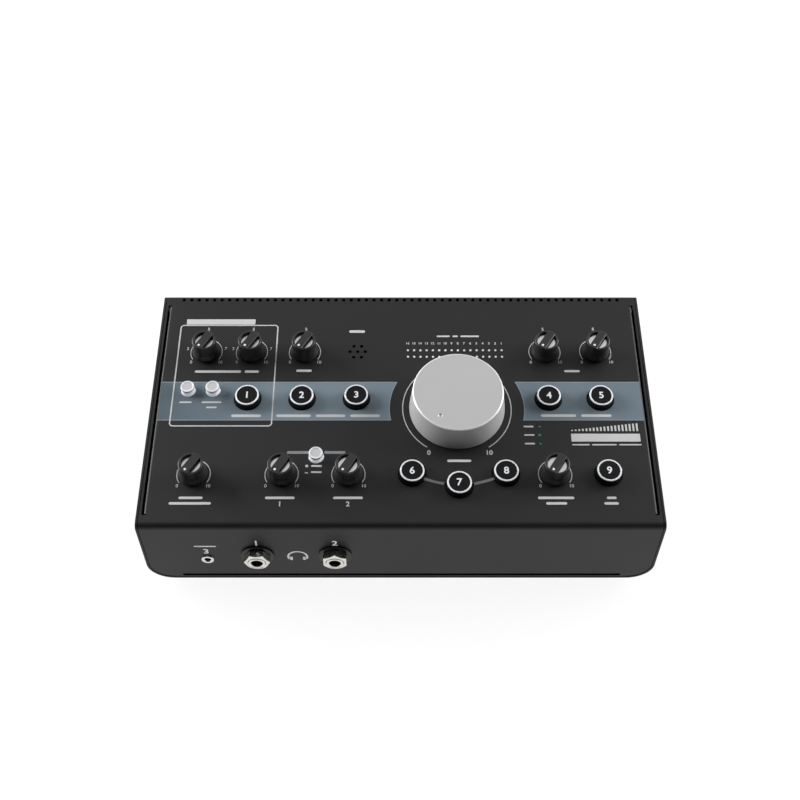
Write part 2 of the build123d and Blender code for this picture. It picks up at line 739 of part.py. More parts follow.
with BuildPart() as key_switches:
    with BuildSketch(panel.offset(-control_board_drop)):
        with Locations(*key_spots.values()):
            Rectangle(key_switch_size, key_switch_size)
    extrude(amount=key_switch_body)
    with BuildSketch(panel.offset(-key_switch_top)):
        with Locations(*key_spots.values()):
            Rectangle(key_stem + 2 * stem_gap, key_stem + 2 * stem_gap)
    extrude(amount=-(stem_depth + key_travel + stem_floor), mode=Mode.SUBTRACT)
save(key_switches.part, "key_switches")

with BuildPart() as latch_switches:
    with BuildSketch(panel.offset(-control_board_drop)):
        with Locations(*push_spots.values()):
            Rectangle(push_switch_size, push_switch_size)
    extrude(amount=push_switch_body)
    with BuildSketch(panel.offset(-push_switch_top)):
        with Locations(*push_spots.values()):
            Rectangle(push_stem + 2 * stem_gap, push_stem + 2 * stem_gap)
    extrude(amount=-(stem_depth + push_travel + stem_floor), mode=Mode.SUBTRACT)
save(latch_switches.part, "latch_switches")

# --- Microphone and lights ------------------------------------------------------------------------------
with BuildPart() as microphone_capsule:
    mic_seat = on_panel(mic_u, mic_v)
    with BuildSketch(mic_seat.offset(-sheet - ear_gap)):
        RegularPolygon(mic_radius, few_sides)
    extrude(amount=-mic_height)
    with BuildSketch(mic_seat.offset(-control_board_drop)):
        RegularPolygon(mic_foot_radius, few_sides)
    extrude(amount=control_board_drop - sheet - ear_gap - mic_height)
save(microphone_capsule.part, "microphone_capsule")

with BuildPart() as light_pipes:
    strip_top = -(sheet + ear_gap)
    strip_width = meter_columns * meter_pitch
    strip_height = meter_row_pitch + 2 * light_leg
    with BuildSketch(panel.offset(strip_top)):
        with Locations((meter_u, meter_v)):
            Rectangle(strip_width, strip_height)
    extrude(amount=-light_strip)
    with BuildSketch(panel.offset(strip_top)):
        with Locations((meter_u, meter_v)):
            with GridLocations(meter_pitch, meter_row_pitch, meter_columns, 2):
                Rectangle(meter_light, meter_light)
    extrude(amount=light_proud - strip_top)
    with BuildSketch(panel.offset(-control_board_drop)):
        with Locations((meter_u, meter_v)):
            with GridLocations(strip_width - light_leg, 1, 2, 1):
                Rectangle(light_leg, strip_height)
    extrude(amount=control_board_drop + strip_top - light_strip)
    with BuildSketch(panel.offset(-control_board_drop)):
        with Locations(*[(status_u, v) for v in status_rows]):
            Rectangle(status_size, status_size)
    extrude(amount=control_board_drop + light_proud)
save(light_pipes.part, "light_pipes")

# --- Sockets for plugs of 6.35 mm, front and rear ---------------------------------------------------------
socket_back = sheet + socket_setback
# (plane of the sheet's outer face, places on it, how far the ferrules stand proud)
socket_rows = (
    (front, [(x, socket_z) for x in phones_x], front_ferrule_proud),
    (rear, [(-x, socket_z) for x in line_x], rear_ferrule_proud),
)
with BuildPart() as stereo_jacks:
    for face, spots, proud in socket_rows:
        with BuildSketch(face.offset(-socket_back)):
            with Locations(*spots):
                Rectangle(socket_width, socket_height)
        extrude(amount=-socket_depth)
        with BuildSketch(face.offset(-socket_back)):
            with Locations(*spots):
                RegularPolygon(ferrule_radius + shaft_gap, few_sides)
        extrude(amount=-ferrule_seat, mode=Mode.SUBTRACT)
        with BuildSketch(face):
            with Locations(*spots):
                RegularPolygon(plug_bore + shaft_gap, few_sides, major_radius=False)
        extrude(amount=proud - plug_reach, mode=Mode.SUBTRACT)
save(stereo_jacks.part, "stereo_jacks")

with BuildPart() as jack_ferrules:
    for face, spots, proud in socket_rows:
        with BuildSketch(face.offset(proud)):
            with Locations(*spots):
                RegularPolygon(ferrule_radius, few_sides)
                Circle(plug_bore, mode=Mode.SUBTRACT)
        extrude(amount=-(proud + socket_back + ferrule_seat))
save(jack_ferrules.part, "jack_ferrules")

with BuildPart() as panel_nuts:
    # (plane of the nut's seat, places, size across the flats, bore, thickness)
    nut_sets = (
        (front.offset(collar), socket_rows[0][1], nut_across, ferrule_radius, front_nut),
        (rear, socket_rows[1][1], nut_across, ferrule_radius, rear_nut),
        (panel, [(volume_u, volume_v)], volume_nut_across, volume_bush_radius, volume_nut),
    )
    for face, spots, across, bore, thickness in nut_sets:
        with BuildSketch(face):
            with Locations(*spots):
                RegularPolygon(across / 2, 6, major_radius=False)
                RegularPolygon(bore + shaft_gap, few_sides, mode=Mode.SUBTRACT)
        extrude(amount=thickness)
save(panel_nuts.part, "panel_nuts")

with BuildPart() as phones_collars:
    with BuildSketch(front):
        with Locations(*socket_rows[0][1]):
            RegularPolygon(collar_radius, sides)
            RegularPolygon(ferrule_radius + shaft_gap, few_sides, mode=Mode.SUBTRACT)
    extrude(amount=collar)
save(phones_collars.part, "phones_collars")

# --- Small front socket for a plug of 3.5 mm ----------------------------------------------------------------
with BuildPart() as aux_jack:
    seat = on_front(aux_x, aux_z)
    with BuildSketch(seat.offset(-socket_back)):
        Rectangle(aux_width, aux_height)
    extrude(amount=-aux_depth)
    with BuildSketch(seat.offset(-socket_back)):
        RegularPolygon(aux_ring_radius, few_sides)
    extrude(amount=socket_back + aux_proud)
    with BuildSketch(seat.offset(aux_proud)):
        Circle(aux_bore)
    extrude(amount=-aux_depth, mode=Mode.SUBTRACT)
save(aux_jack.part, "aux_jack")

# --- Combined three-pin and plug sockets ----------------------------------------------------------------------
combo_spots = [(-x, combo_z) for x in combo_x]
with BuildPart() as combo_housings:
    with BuildSketch(rear.offset(-socket_back)):
        with Locations(*combo_spots):
            Rectangle(combo_size, combo_size)
    extrude(amount=-combo_body)
    with BuildSketch(rear.offset(-socket_back)):
        with Locations(*combo_spots):
            RegularPolygon(combo_nose_radius, sides)
    extrude(amount=socket_back + combo_proud)
    with BuildSketch(rear.offset(combo_proud)):
        with Locations(*combo_spots):
            Circle(combo_ring_radius)
    extrude(amount=-combo_ring_depth, mode=Mode.SUBTRACT)
    with BuildSketch(rear):
        with Locations(*combo_spots):
            RegularPolygon(combo_insert_radius + fit_gap, sides)
    extrude(amount=-combo_insert_depth, mode=Mode.SUBTRACT)
    with BuildSketch(rear):
        with Locations(*combo_spots):
            RegularPolygon(plug_bore + fit_gap, few_sides, major_radius=False)
    extrude(amount=-(plug_reach + combo_insert_setback), mode=Mode.SUBTRACT)
save(combo_housings.part, "combo_housings")

with BuildPart() as combo_inserts:
    with BuildSketch(rear.offset(-combo_insert_setback)):
        with Locations(*combo_spots):
            RegularPolygon(combo_insert_radius, sides)
            Circle(plug_bore, mode=Mode.SUBTRACT)
    extrude(amount=combo_insert_setback - combo_insert_depth)
    with BuildSketch(rear.offset(-combo_insert_setback)):
        with Locations(*combo_spots):
            with PolarLocations(pin_circle_radius, 3, start_angle=90):
                RegularPolygon(pin_hole_radius, hole_sides)
    extrude(amount=-pin_hole_depth, mode=Mode.SUBTRACT)
save(combo_inserts.part, "combo_inserts")

# --- USB socket and power inlet -----------------------------------------------------------------------------------
with BuildPart() as usb_socket:
    mouth = on_rear(usb_x, usb_z).offset(usb_proud)
    with BuildSketch(mouth):
        Rectangle(usb_width, usb_height)
    extrude(amount=-usb_depth)
    with BuildSketch(mouth):
        Rectangle(usb_mouth_width, usb_mouth_height)
        chamfer(vertices().group_by(Axis.Y)[-1], length=usb_mouth_height / 5)
        Rectangle(usb_tongue_width, usb_tongue_height, mode=Mode.SUBTRACT)
    extrude(amount=-usb_cavity, mode=Mode.SUBTRACT)
    with BuildSketch(mouth):
        Rectangle(usb_tongue_width, usb_tongue_height)
    extrude(amount=-usb_proud, mode=Mode.SUBTRACT)
save(usb_socket.part, "usb_socket")

with BuildPart() as power_inlet:
    mouth = on_rear(inlet_x, inlet_z).offset(inlet_proud)
    with BuildSketch(mouth):
        Rectangle(inlet_width, inlet_height)
    extrude(amount=-inlet_depth)
    with BuildSketch(mouth):
        RegularPolygon(inlet_bore, few_sides)
        RegularPolygon(inlet_pin, hole_sides, mode=Mode.SUBTRACT)
    extrude(amount=-inlet_cavity, mode=Mode.SUBTRACT)
    with BuildSketch(mouth):
        RegularPolygon(inlet_pin, hole_sides)
    extrude(amount=-inlet_pin, mode=Mode.SUBTRACT)
save(power_inlet.part, "power_inlet")

# --- Power switch: a rocker on two trunnions in its frame ------------------------------------------------------------
switch_seat = on_rear(switch_x, rocker_z)
pivot = Plane(
    origin=(switch_x, y_panel_rear - rocker_pivot_depth, rocker_z),
    x_dir=(0, 0, 1),
    z_dir=(-1, 0, 0),
)
with BuildPart() as power_switch_frame:
    with BuildSketch(switch_seat):
        Rectangle(switch_flange_width, switch_flange_height)
        chamfer(vertices(), length=switch_flange)
    extrude(amount=switch_flange)
    with BuildSketch(switch_seat):
        Rectangle(switch_body_width, switch_body_height)
    extrude(amount=-switch_body)
    with BuildSketch(switch_seat.offset(switch_flange)):
        Rectangle(switch_mouth_width, switch_mouth_height)
    extrude(amount=-(switch_flange + switch_mouth_depth), mode=Mode.SUBTRACT)
    with BuildSketch(pivot):
        RegularPolygon(trunnion_radius + shaft_gap, few_sides, major_radius=False)
    extrude(amount=switch_body_width / 2, both=True, mode=Mode.SUBTRACT)
save(power_switch_frame.part, "power_switch_frame")

with BuildPart() as power_rocker:
    with BuildSketch(turned(pivot, rocker_tilt_deg)):
        with BuildLine():
            Polyline(
                (-rocker_half, -rocker_under),
                (rocker_half, -rocker_under),
                (rocker_half, rocker_shoulder),
                (0, rocker_waist),
                (-rocker_half, rocker_shoulder),
                close=True,
            )
        make_face()
    extrude(amount=rocker_width / 2, both=True)
    with BuildSketch(pivot):
        RegularPolygon(trunnion_radius, few_sides)
    extrude(amount=rocker_width / 2 + trunnion_length, both=True)
save(power_rocker.part, "power_rocker")
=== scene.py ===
import json
from math import asin, atan2, cos, degrees, pi, radians, sin, sqrt, tan

import bmesh
import bpy
import numpy as np
from bpy.props import FloatProperty, FloatVectorProperty, PointerProperty
from mathutils import Euler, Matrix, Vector
from mathutils.geometry import delaunay_2d_cdt


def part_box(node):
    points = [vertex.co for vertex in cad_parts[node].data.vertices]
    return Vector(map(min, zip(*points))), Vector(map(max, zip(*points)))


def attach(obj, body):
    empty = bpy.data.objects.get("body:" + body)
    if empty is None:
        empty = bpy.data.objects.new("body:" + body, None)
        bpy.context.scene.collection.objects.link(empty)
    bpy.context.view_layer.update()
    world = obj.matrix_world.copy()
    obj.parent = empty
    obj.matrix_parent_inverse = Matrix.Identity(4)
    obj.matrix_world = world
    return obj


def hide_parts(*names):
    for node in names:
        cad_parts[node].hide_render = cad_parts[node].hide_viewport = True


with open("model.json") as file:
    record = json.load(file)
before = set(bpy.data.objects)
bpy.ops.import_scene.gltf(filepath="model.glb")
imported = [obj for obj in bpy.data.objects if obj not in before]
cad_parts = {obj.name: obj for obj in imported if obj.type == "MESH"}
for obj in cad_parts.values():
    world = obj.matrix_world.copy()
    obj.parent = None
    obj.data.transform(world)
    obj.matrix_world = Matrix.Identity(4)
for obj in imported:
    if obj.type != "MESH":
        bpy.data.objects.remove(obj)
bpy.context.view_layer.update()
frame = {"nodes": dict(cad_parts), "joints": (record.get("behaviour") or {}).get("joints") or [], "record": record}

bl_info = {
    "name": "Studio Monitor Controller",
    "version": (1, 0, 0),
    "blender": (4, 5, 0),
    "location": "3D View > Sidebar > Controller",
    "description": "Finished surfaces and controls of a desktop monitor controller, fitted to its frame",
    "category": "Add Mesh",
}

# Places and sizes are in mm. Panel places are (u, v): to the right, and up the slope from the
# front edge. A corner is (x, y), or (x, y, radius) where it is rounded.
MM = 0.001
JOINTS = {joint["name"]: joint for joint in frame["joints"]}
MOUNTS = {mount["name"]: mount for mount in frame["record"]["mounts"]}
CASE_WIDTH = 280.0
PANEL_LENGTH = 152.0
FOOT_HEIGHT = 3.0
SHEET = 1.2
SEAM = 0.35  # between the cover and the tray
LIP_GAP = 0.1  # between the cover's rear lip and the rear panel
FRONT_PROUD, REAR_PROUD = 5.8, 4.2  # how far the jack tubes stand out
SHARP_DEG = 32.0  # faces that meet at more than this keep their edge

# --- Seats: flat places that pieces are built on ---


class Seat:
    """A flat place in the row frame: its origin and, as rows, its x, y and outward axes."""

    def __init__(self, origin, x_axis, normal):
        self.origin = np.array(origin, float)
        out = np.array(normal, float) / np.linalg.norm(normal)
        along = np.array(x_axis, float) / np.linalg.norm(x_axis)
        self.axes = np.stack([along, np.cross(out, along), out])

    def points(self, local):
        """Points in the row frame: the origin plus each local coordinate times its axis."""
        return self.origin + np.asarray(local, float) @ self.axes

    def local(self, points):
        """The inverse of points(): the row frame's points in the seat's own axes."""
        return (np.asarray(points, float) - self.origin) @ self.axes.T

    def at(self, x, y, turn=0.0, lift=0.0):
        """A seat at x, y, lift over this one, with its x axis turned by turn degrees."""
        angle = radians(turn)
        along = cos(angle) * self.axes[0] + sin(angle) * self.axes[1]
        return Seat(self.points([x, y, lift]), along, self.axes[2])


def find_panel():
    """The sloping panel's seat and slope, from the volume joint and the front jack tubes' mouths."""
    joint = JOINTS["volume_turn"]
    place = np.array(joint["pos_m"]) / MM
    slope = atan2(-joint["axis"][1], joint["axis"][2])
    y_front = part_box("jack_ferrules")[0].y / MM + FRONT_PROUD
    z_edge = place[2] - (place[1] - y_front) * tan(slope)
    return Seat((0, y_front, z_edge), (1, 0, 0), joint["axis"]), slope


PANEL, SLOPE = find_panel()
Y_FRONT, Z_EDGE = PANEL.origin[1:]
Y_REAR = Y_FRONT + PANEL_LENGTH * cos(SLOPE)
Y_BACK = Y_REAR - SHEET - LIP_GAP  # outer face of the rear panel
FRONT = Seat((0, Y_FRONT, 0), (1, 0, 0), (0, -1, 0))
BACK = Seat((0, Y_BACK, 0), (-1, 0, 0), (0, 1, 0))
FLOOR = Seat((0, 0, 0), (1, 0, 0), (0, 0, 1))


def panel_z(y, depth=0.0):
    """Height at y of the plane that lies depth under the panel."""
    return Z_EDGE + (y - Y_FRONT) * tan(SLOPE) - depth / cos(SLOPE)


def vertices(mesh):
    """The places of a mesh's vertices, one row each."""
    places = np.empty(len(mesh.vertices) * 3, np.float32)
    mesh.vertices.foreach_get("co", places)
    return places.reshape(-1, 3)


def crown(node):
    """(u, v) of the middle of a node's topmost face, seen along the panel's normal."""
    local = PANEL.local(vertices(frame["nodes"][node].data) / MM)
    top = local[local[:, 2] > local[:, 2].max() - 0.02]
    middle = (top.min(0) + top.max(0)) / 2
    return float(middle[0]), float(middle[1])


def mount_xz(name):
    """(x, z) of a socket's mount."""
    x, _, z = MOUNTS[name]["pos_m"]
    return x / MM, z / MM


def extent(node):
    """A node's box: its middle x and z, its width and height, and its front and rear y."""
    low, high = (np.array(corner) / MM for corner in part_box(node))
    (x, _, z), (width, _, height) = (low + high) / 2, high - low
    return x, z, width, height, low[1], high[1]


def rear_seat(x, z, y=Y_BACK):
    """A seat that faces the rear, at x, z and at the rear panel or at another y."""
    return Seat((x, y, z), BACK.axes[0], BACK.axes[2])


KNOBS = [f"{name}_knob" for name in (
    "preamp_1", "preamp_2", "input_trim", "monitor_a_trim", "monitor_b_trim",
    "direct_blend", "phones_1_level", "phones_2_level", "talkback_level",
)]
KEYS = [f"{name}_key" for name in (
    "source_1_2", "source_3_4", "source_usb", "monitor_a", "monitor_b", "mono", "mute", "dim", "talkback",
)]
PUSHES = [f"{name}_push_button" for name in ("preamp_1", "preamp_2", "phones_source")]
PHONES = ("phones_1", "phones_2")
LINE_SOCKETS = (
    "monitor_a_left", "monitor_a_right", "monitor_b_left", "monitor_b_right", "line_in_3", "line_in_4",
)
COMBO_SOCKETS = ("input_1", "input_2")
VOLUME = crown("volume_knob")
TRAVEL = JOINTS["volume_turn"]["range_deg"]
POINTER_DEG = 90.0 + (TRAVEL[1] - TRAVEL[0]) / 2  # at the low end: the travel is even about straight up
KEY_HOLE, PUSH_HOLE = 7.75, 4.35
VENT_ROW = (np.arange(58) - 28.5) * 4.5
MIC = (-24.75, 111.75)
MIC_HOLES = [MIC] + [(MIC[0] + 4.4 * cos(a), MIC[1] + 4.4 * sin(a)) for a in np.arange(6) * pi / 3]
METER_U, METER_V = 31.2, 110.5
METER_COLUMNS = [METER_U + (i - 7.5) * 3.6 for i in range(16)]
METER = [(u, METER_V + row * 2.25) for row in (-1, 1) for u in METER_COLUMNS]
STATUS = [(76.5, v) for v in (61.5, 56.1, 50.6)]
SCREW_X, SCREW_ROWS = (-90.0, 0.0, 90.0), (Y_FRONT + 7.5, Y_REAR - 7.5)

# --- Outlines: closed rows of flat points ---


def rounded(corners, steps=5, guard=0.2):
    """A line through corners: at each one with a radius, the arc that touches both runs there, with
    a guard point just before and after it. Returns the points and their headings."""
    corners = np.array([(*corner, 0)[:3] for corner in corners], float)
    spots, radii = corners[:, :2], corners[:, 2]
    runs = np.diff(spots, axis=0)
    lengths = np.hypot(*runs.T)
    headings = np.unwrap(np.arctan2(runs[:, 1], runs[:, 0]))
    points, turns = [spots[:1]], [headings[:1]]
    shorter = np.minimum(lengths[:-1], lengths[1:])
    for spot, radius, before, after, run in zip(spots[1:-1], radii[1:-1], headings, headings[1:], shorter):
        if radius == 0:
            points.append(spot[None])
            turns.append([after])
            continue
        reach = radius * abs(tan((after - before) / 2))
        towards, away = np.array([[cos(before), sin(before)], [cos(after), sin(after)]])
        side = np.sign(after - before)
        start = spot - reach * towards
        centre = start + side * radius * np.array([-sin(before), cos(before)])
        swept = np.linspace(before, after, steps + 1)
        arc = centre - side * radius * np.column_stack([-np.sin(swept), np.cos(swept)])
        aside = min(guard, 0.25 * max(run - reach, 0))
        points.append([start - aside * towards, *arc, arc[-1] + aside * away])
        turns.append([before, *swept, after])
    return np.concatenate([*points, spots[-1:]]), np.concatenate([*turns, headings[-1:]])


def loop(corners, steps=4):
    """A closed outline through corners."""
    first, last = corners[0], corners[-1]
    middle = ((first[0] + last[0]) / 2, (first[1] + last[1]) / 2)
    return rounded([middle, *corners, middle], steps, guard=0)[0][:-1]


def circle(x, y, radius, sides=32):
    """Points x + radius cos a, y + radius sin a round a full turn."""
    angle = np.arange(sides) * 2 * pi / sides
    return np.column_stack([x + radius * np.cos(angle), y + radius * np.sin(angle)])


def box(x, y, width, height, radius=0.0, steps=3):
    """A rectangle round x, y with rounded corners."""
    w, h = width / 2, height / 2
    return loop([(x + a, y + b, radius) for a, b in ((-w, -h), (w, -h), (w, h), (-w, h))], steps)


def bar(x, y, width, height):
    """A rectangle round x, y whose ends are half circles."""
    return box(x, y, width, height, 0.499 * min(width, height), 5)


def band(x, y, radius, width, start, end, sides=48):
    """An arc of a ring: its outer edge from start to end degrees and its inner edge back."""
    angle = np.radians(np.linspace(start, end, sides))
    rays = np.column_stack([np.cos(angle), np.sin(angle)])
    return np.concatenate([(radius + width / 2) * rays, (radius - width / 2) * rays[::-1]]) + (x, y)


# --- Shells: (points, faces) ---


def area(line):
    """Signed area of an outline: half the sum of each point's cross product with the next."""
    (x, y), (next_x, next_y) = np.transpose(line), np.roll(line, -1, axis=0).T
    return float((x * next_y - next_x * y).sum() / 2)


def cut(outlines, holes=(), creases=()):
    """Triangles that fill flat outlines less their holes, with edges along the creases."""
    loops = [line if area(line) > 0 else line[::-1] for line in (*outlines, *holes)]
    sizes = [len(each) for each in loops]
    starts = np.cumsum([0, *sizes])
    spots = np.concatenate([*loops, *(np.array(crease, float) for crease in creases)])
    faces = [list(range(a, a + n)) for a, n in zip(starts, sizes)]
    edges = [(i, i + 1) for i in range(starts[-1], len(spots), 2)]
    places, _, triangles, _, _, sources = delaunay_2d_cdt(
        [Vector(spot) for spot in spots], edges, faces, 0, 1e-6, True
    )
    count = len(outlines)
    kept = [face for face, source in zip(triangles, sources) if source and max(source) < count]
    used, kept = np.unique(kept, return_inverse=True)
    return np.array(places)[used], kept.reshape(-1, 3)


def walled(triangles, outer, inner):
    """A closed shell from an outer face, an inner face and a wall along every open edge."""
    count = len(outer)
    edges = np.concatenate([triangles[:, [0, 1]], triangles[:, [1, 2]], triangles[:, [2, 0]]])
    _, first, uses = np.unique(np.sort(edges, axis=1), axis=0, return_index=True, return_counts=True)
    a, b = edges[first[uses == 1]].T
    walls = np.column_stack([b, a, a + count, b + count])
    faces = [*triangles.tolist(), *(triangles[:, ::-1] + count).tolist(), *walls.tolist()]
    return np.concatenate([outer, inner]), faces


def slab(seat, outlines, holes, low, high):
    """Flat outlines less their holes, from height low to height high over a seat."""
    flat, triangles = cut(outlines, holes)
    faces = [seat.points(np.column_stack([flat, np.full(len(flat), h)])) for h in (high, low)]
    return walled(triangles, *faces)


def stacked(seat, levels):
    """Like outlines at rising heights (height, outline), joined by walls, with a lid at each end."""
    count, top = len(levels[0][1]), len(levels) - 1
    points = np.concatenate([np.column_stack([line, np.full(count, h)]) for h, line in levels])
    i = np.arange(count)
    following = (i + 1) % count
    wall = np.column_stack([i, following, following + count, i + count])
    walls = np.concatenate([wall + row * count for row in range(top)])
    lids = [list(range(count))[::-1], list(range(count * top, count * (top + 1)))]
    return seat.points(points), [*walls.tolist(), *lids]


def lathe(seat, profile, turns=64, reach=None):
    """A profile of (radius, height) carried round a seat's normal: x = r cos a, y = r sin a, z = h.
    reach(a, r, h), where given, returns the radius and height to use instead at angle a."""
    angle = np.arange(turns) * 2 * pi / turns
    radius, height = np.repeat(np.array(profile, float).T[:, :, None], turns, axis=2)
    if reach:
        radius, height = reach(angle[None], radius, height)
    grid = np.stack([radius * np.cos(angle), radius * np.sin(angle), height], axis=-1)
    rows, columns = np.meshgrid(np.arange(len(profile) - 1), np.arange(turns), indexing="ij")
    a = (rows * turns + columns).ravel()
    b = (rows * turns + (columns + 1) % turns).ravel()
    return seat.points(grid.reshape(-1, 3)), np.column_stack([a, b, b + turns, a + turns]).tolist()


def turned(seat, corners, turns=64, steps=5):
    """A lathed shell through corners (radius, height)."""
    return lathe(seat, rounded(corners, steps, guard=0.12)[0], turns)


def ring(seat, corners, turns=64, steps=5):
    """A lathed shell through corners (radius, height) and back to the first one."""
    return turned(seat, [*corners, corners[0]], turns, steps)


class Fold:
    """The line across a bent sheet, from corners (a, b), with the outside on its left. A flat place
    (x, s) lies at x along the bend and at s along the outside of the line; order says which of
    x, a and b are the row frame's axes."""

    def __init__(self, corners, order=(0, 1, 2), steps=7):
        self.line, self.heading = rounded(corners, steps, guard=0.3)
        lengths = np.hypot(*np.diff(self.line, axis=0).T)
        self.s = np.concatenate([[0.0], np.cumsum(lengths)])
        self.order = order

    def s_of(self, a, b):
        """Length along the line of the place on it that is nearest to (a, b)."""
        start, run = self.line[:-1], np.diff(self.line, axis=0)
        size = (run**2).sum(1)
        share = np.clip(((np.array([a, b]) - start) * run).sum(1) / np.maximum(size, 1e-12), 0, 1)
        near = ((start + share[:, None] * run - (a, b)) ** 2).sum(1).argmin()
        return self.s[near] + share[near] * sqrt(size[near])

    def shell(self, outline, holes, reach=200.0):
        """The sheet bent along the line: each flat place goes to its point on the line, less the
        outward normal times the depth under the outside. Creases run out to reach on both sides."""
        creases = [((-reach, s), (reach, s)) for s in self.s[1:-1]]
        flat, triangles = cut([outline], holes, creases)
        x, s = flat.T
        places = np.column_stack([np.interp(s, self.s, self.line[:, i]) for i in (0, 1)])
        heading = np.interp(s, self.s, self.heading)
        normal = np.column_stack([-np.sin(heading), np.cos(heading)])
        faces = [np.column_stack([x, places - depth * normal])[:, self.order] for depth in (0.0, SHEET)]
        return walled(triangles, *faces)


def numerals(seat, items, height, depth=0.03):
    """Shells of plain numbers (text, x, y), centred there, height tall, standing on the seat."""
    shells = []
    for text, x, y in items:
        curve = bpy.data.curves.new("numeral", "FONT")
        curve.body, curve.size = text, height / 0.7  # a numeral is 0.7 of its font's size
        curve.align_x, curve.align_y = "CENTER", "CENTER"
        curve.extrude, curve.offset = depth / 2, 0.03 * height
        curve.resolution_u = 4
        holder = bpy.data.objects.new("numeral", curve)
        mesh = bpy.data.meshes.new_from_object(holder)
        spots = vertices(mesh) + (x, y, depth / 2)
        spots[:, :2] += (x, y) - (spots.min(0) + spots.max(0))[:2] / 2
        shells.append((seat.points(spots), [list(face.vertices) for face in mesh.polygons]))
        bpy.data.objects.remove(holder)
        bpy.data.curves.remove(curve)
        bpy.data.meshes.remove(mesh)
    return shells


def add_object(name, data):
    """A new object in the scene."""
    piece = bpy.data.objects.new(name, data)
    bpy.context.scene.collection.objects.link(piece)
    return piece


def make(name, slot, material, shells, *replaces, body="chassis"):
    """One piece from shells: placed in metres, its doubles merged, its faces turned outwards and
    smoothed up to SHARP_DEG; then it rides on its body and stands for the nodes it replaces."""
    spots = np.concatenate([points for points, _ in shells]) * MM
    starts = np.cumsum([0, *(len(points) for points, _ in shells)])
    faces = [[i + start for i in face] for start, (_, part) in zip(starts, shells) for face in part]
    mesh = bpy.data.meshes.new(name)
    mesh.from_pydata(spots, [], faces)
    work = bmesh.new()
    work.from_mesh(mesh)
    bmesh.ops.remove_doubles(work, verts=work.verts, dist=1e-7)
    bmesh.ops.dissolve_degenerate(work, edges=work.edges, dist=1e-8)
    bmesh.ops.recalc_face_normals(work, faces=work.faces)
    work.to_mesh(mesh)
    work.free()
    mesh.shade_smooth()
    mesh.set_sharp_from_angle(angle=radians(SHARP_DEG))
    mesh.materials.append(material)
    piece = add_object(name, mesh)
    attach(piece, body)
    if replaces:
        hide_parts(*replaces)


# --- Finishes ---


class Sock:
    """A shader value that can stand in a Python expression; each operation adds one Math node."""

    def __init__(self, tree, socket):
        self.tree, self.socket = tree, socket

    def math(self, operation, *others, clamp=False):
        """The result of a Math node whose first input is this value."""
        settings = {"operation": operation, "use_clamp": clamp}
        return add_node(self.tree, "Math", dict(enumerate((self, *others))), settings)

    def __add__(self, other):
        return self.math("ADD", other)

    def __sub__(self, other):
        return self.math("SUBTRACT", other)

    def __rsub__(self, other):
        return self.math("MULTIPLY", -1.0).math("ADD", other)

    def __mul__(self, other):
        return self.math("MULTIPLY", other)

    __radd__, __rmul__ = __add__, __mul__

    def ramp(self, low, high):
        """0 below low, 1 above high, and straight between."""
        return ((self - low) * (1 / (high - low))).math("ADD", 0.0, clamp=True)


def plug(tree, slot, value):
    """Links a Sock to a socket, or sets the socket to a plain value."""
    if isinstance(value, Sock):
        tree.links.new(value.socket, slot)
    elif slot.type == "RGBA" and len(value) == 3:
        slot.default_value = (*value, 1.0)
    else:
        slot.default_value = value


def add_node(tree, kind, inputs=None, settings=None, output=0):
    """Adds a node of a kind: its settings are set first, then its inputs, by name or number."""
    node = tree.nodes.new("ShaderNode" + kind)
    for name, value in (settings or {}).items():
        setattr(node, name, value)
    for name, value in (inputs or {}).items():
        plug(tree, node.inputs[name], value)
    return Sock(tree, node.outputs[output])


class Finish:
    """A material being made: a Principled shader, its inputs set by name."""

    def __init__(self, name, **inputs):
        self.material = bpy.data.materials.new(name)
        self.material.use_nodes = True
        self.tree = self.material.node_tree
        self.shader = self.tree.nodes["Principled BSDF"]
        self.place = self.node("TexCoord", output="Object")
        self.set(**inputs)

    def node(self, kind, *inputs_and_settings, output=0):
        return add_node(self.tree, kind, *inputs_and_settings, output=output)

    def set(self, **inputs):
        for name, value in inputs.items():
            plug(self.tree, self.shader.inputs[name.replace("_", " ")], value)

    def noise(self, size, detail=2.0, roughness=0.5):
        """Noise from 0 to 1 with features about size mm across."""
        inputs = {"Vector": self.place, "Scale": 1 / (size * MM), "Detail": detail, "Roughness": roughness}
        return self.node("TexNoise", inputs, output="Fac")

    def blend(self, share, low, high):
        """The colour low where share is 0 and high where it is 1."""
        return self.node("Mix", {"Factor": share, 6: low, 7: high}, {"data_type": "RGBA"}, output=2)

    def tint(self, share, colour, low, high):
        """Moves the base colour between two shades of a colour."""
        self.set(Base_Color=self.blend(share, shade(colour, low), shade(colour, high)))

    def bump(self, height, depth, strength=0.6):
        """Bump of depth mm between height 0 and 1."""
        inputs = {"Height": height, "Distance": depth * MM, "Strength": strength}
        self.set(Normal=self.node("Bump", inputs))

    def across(self):
        """The X of the Object coordinates, in mm."""
        return self.node("SeparateXYZ", {"Vector": self.place}, output="X") * (1 / MM)

    def height_over(self, seat):
        """Height in mm over a seat's plane."""
        inputs = {0: self.place, 1: seat.axes[2]}
        along = self.node("VectorMath", inputs, {"operation": "DOT_PRODUCT"}, output="Value")
        return along * (1 / MM) - float(seat.origin @ seat.axes[2])


def shade(colour, factor):
    """A colour made lighter or darker."""
    return tuple(min(1.0, c * factor) for c in colour)


def grained(name, colour, mottle, slow, fine, gloss, bump, **inputs):
    """A finish with two noises. The slow one moves the colour by the share mottle, the fine one is
    the bump, and the roughness is the fine and the slow one by their weights, plus a base."""
    finish = Finish(name, **inputs)
    drift, grain = finish.noise(*slow), finish.noise(*fine)
    finish.tint(drift, colour, 1 - mottle, 1 + mottle)
    finish.set(Roughness=grain * gloss[0] + drift * gloss[1] + gloss[2])
    finish.bump(grain, *bump)
    return finish.material


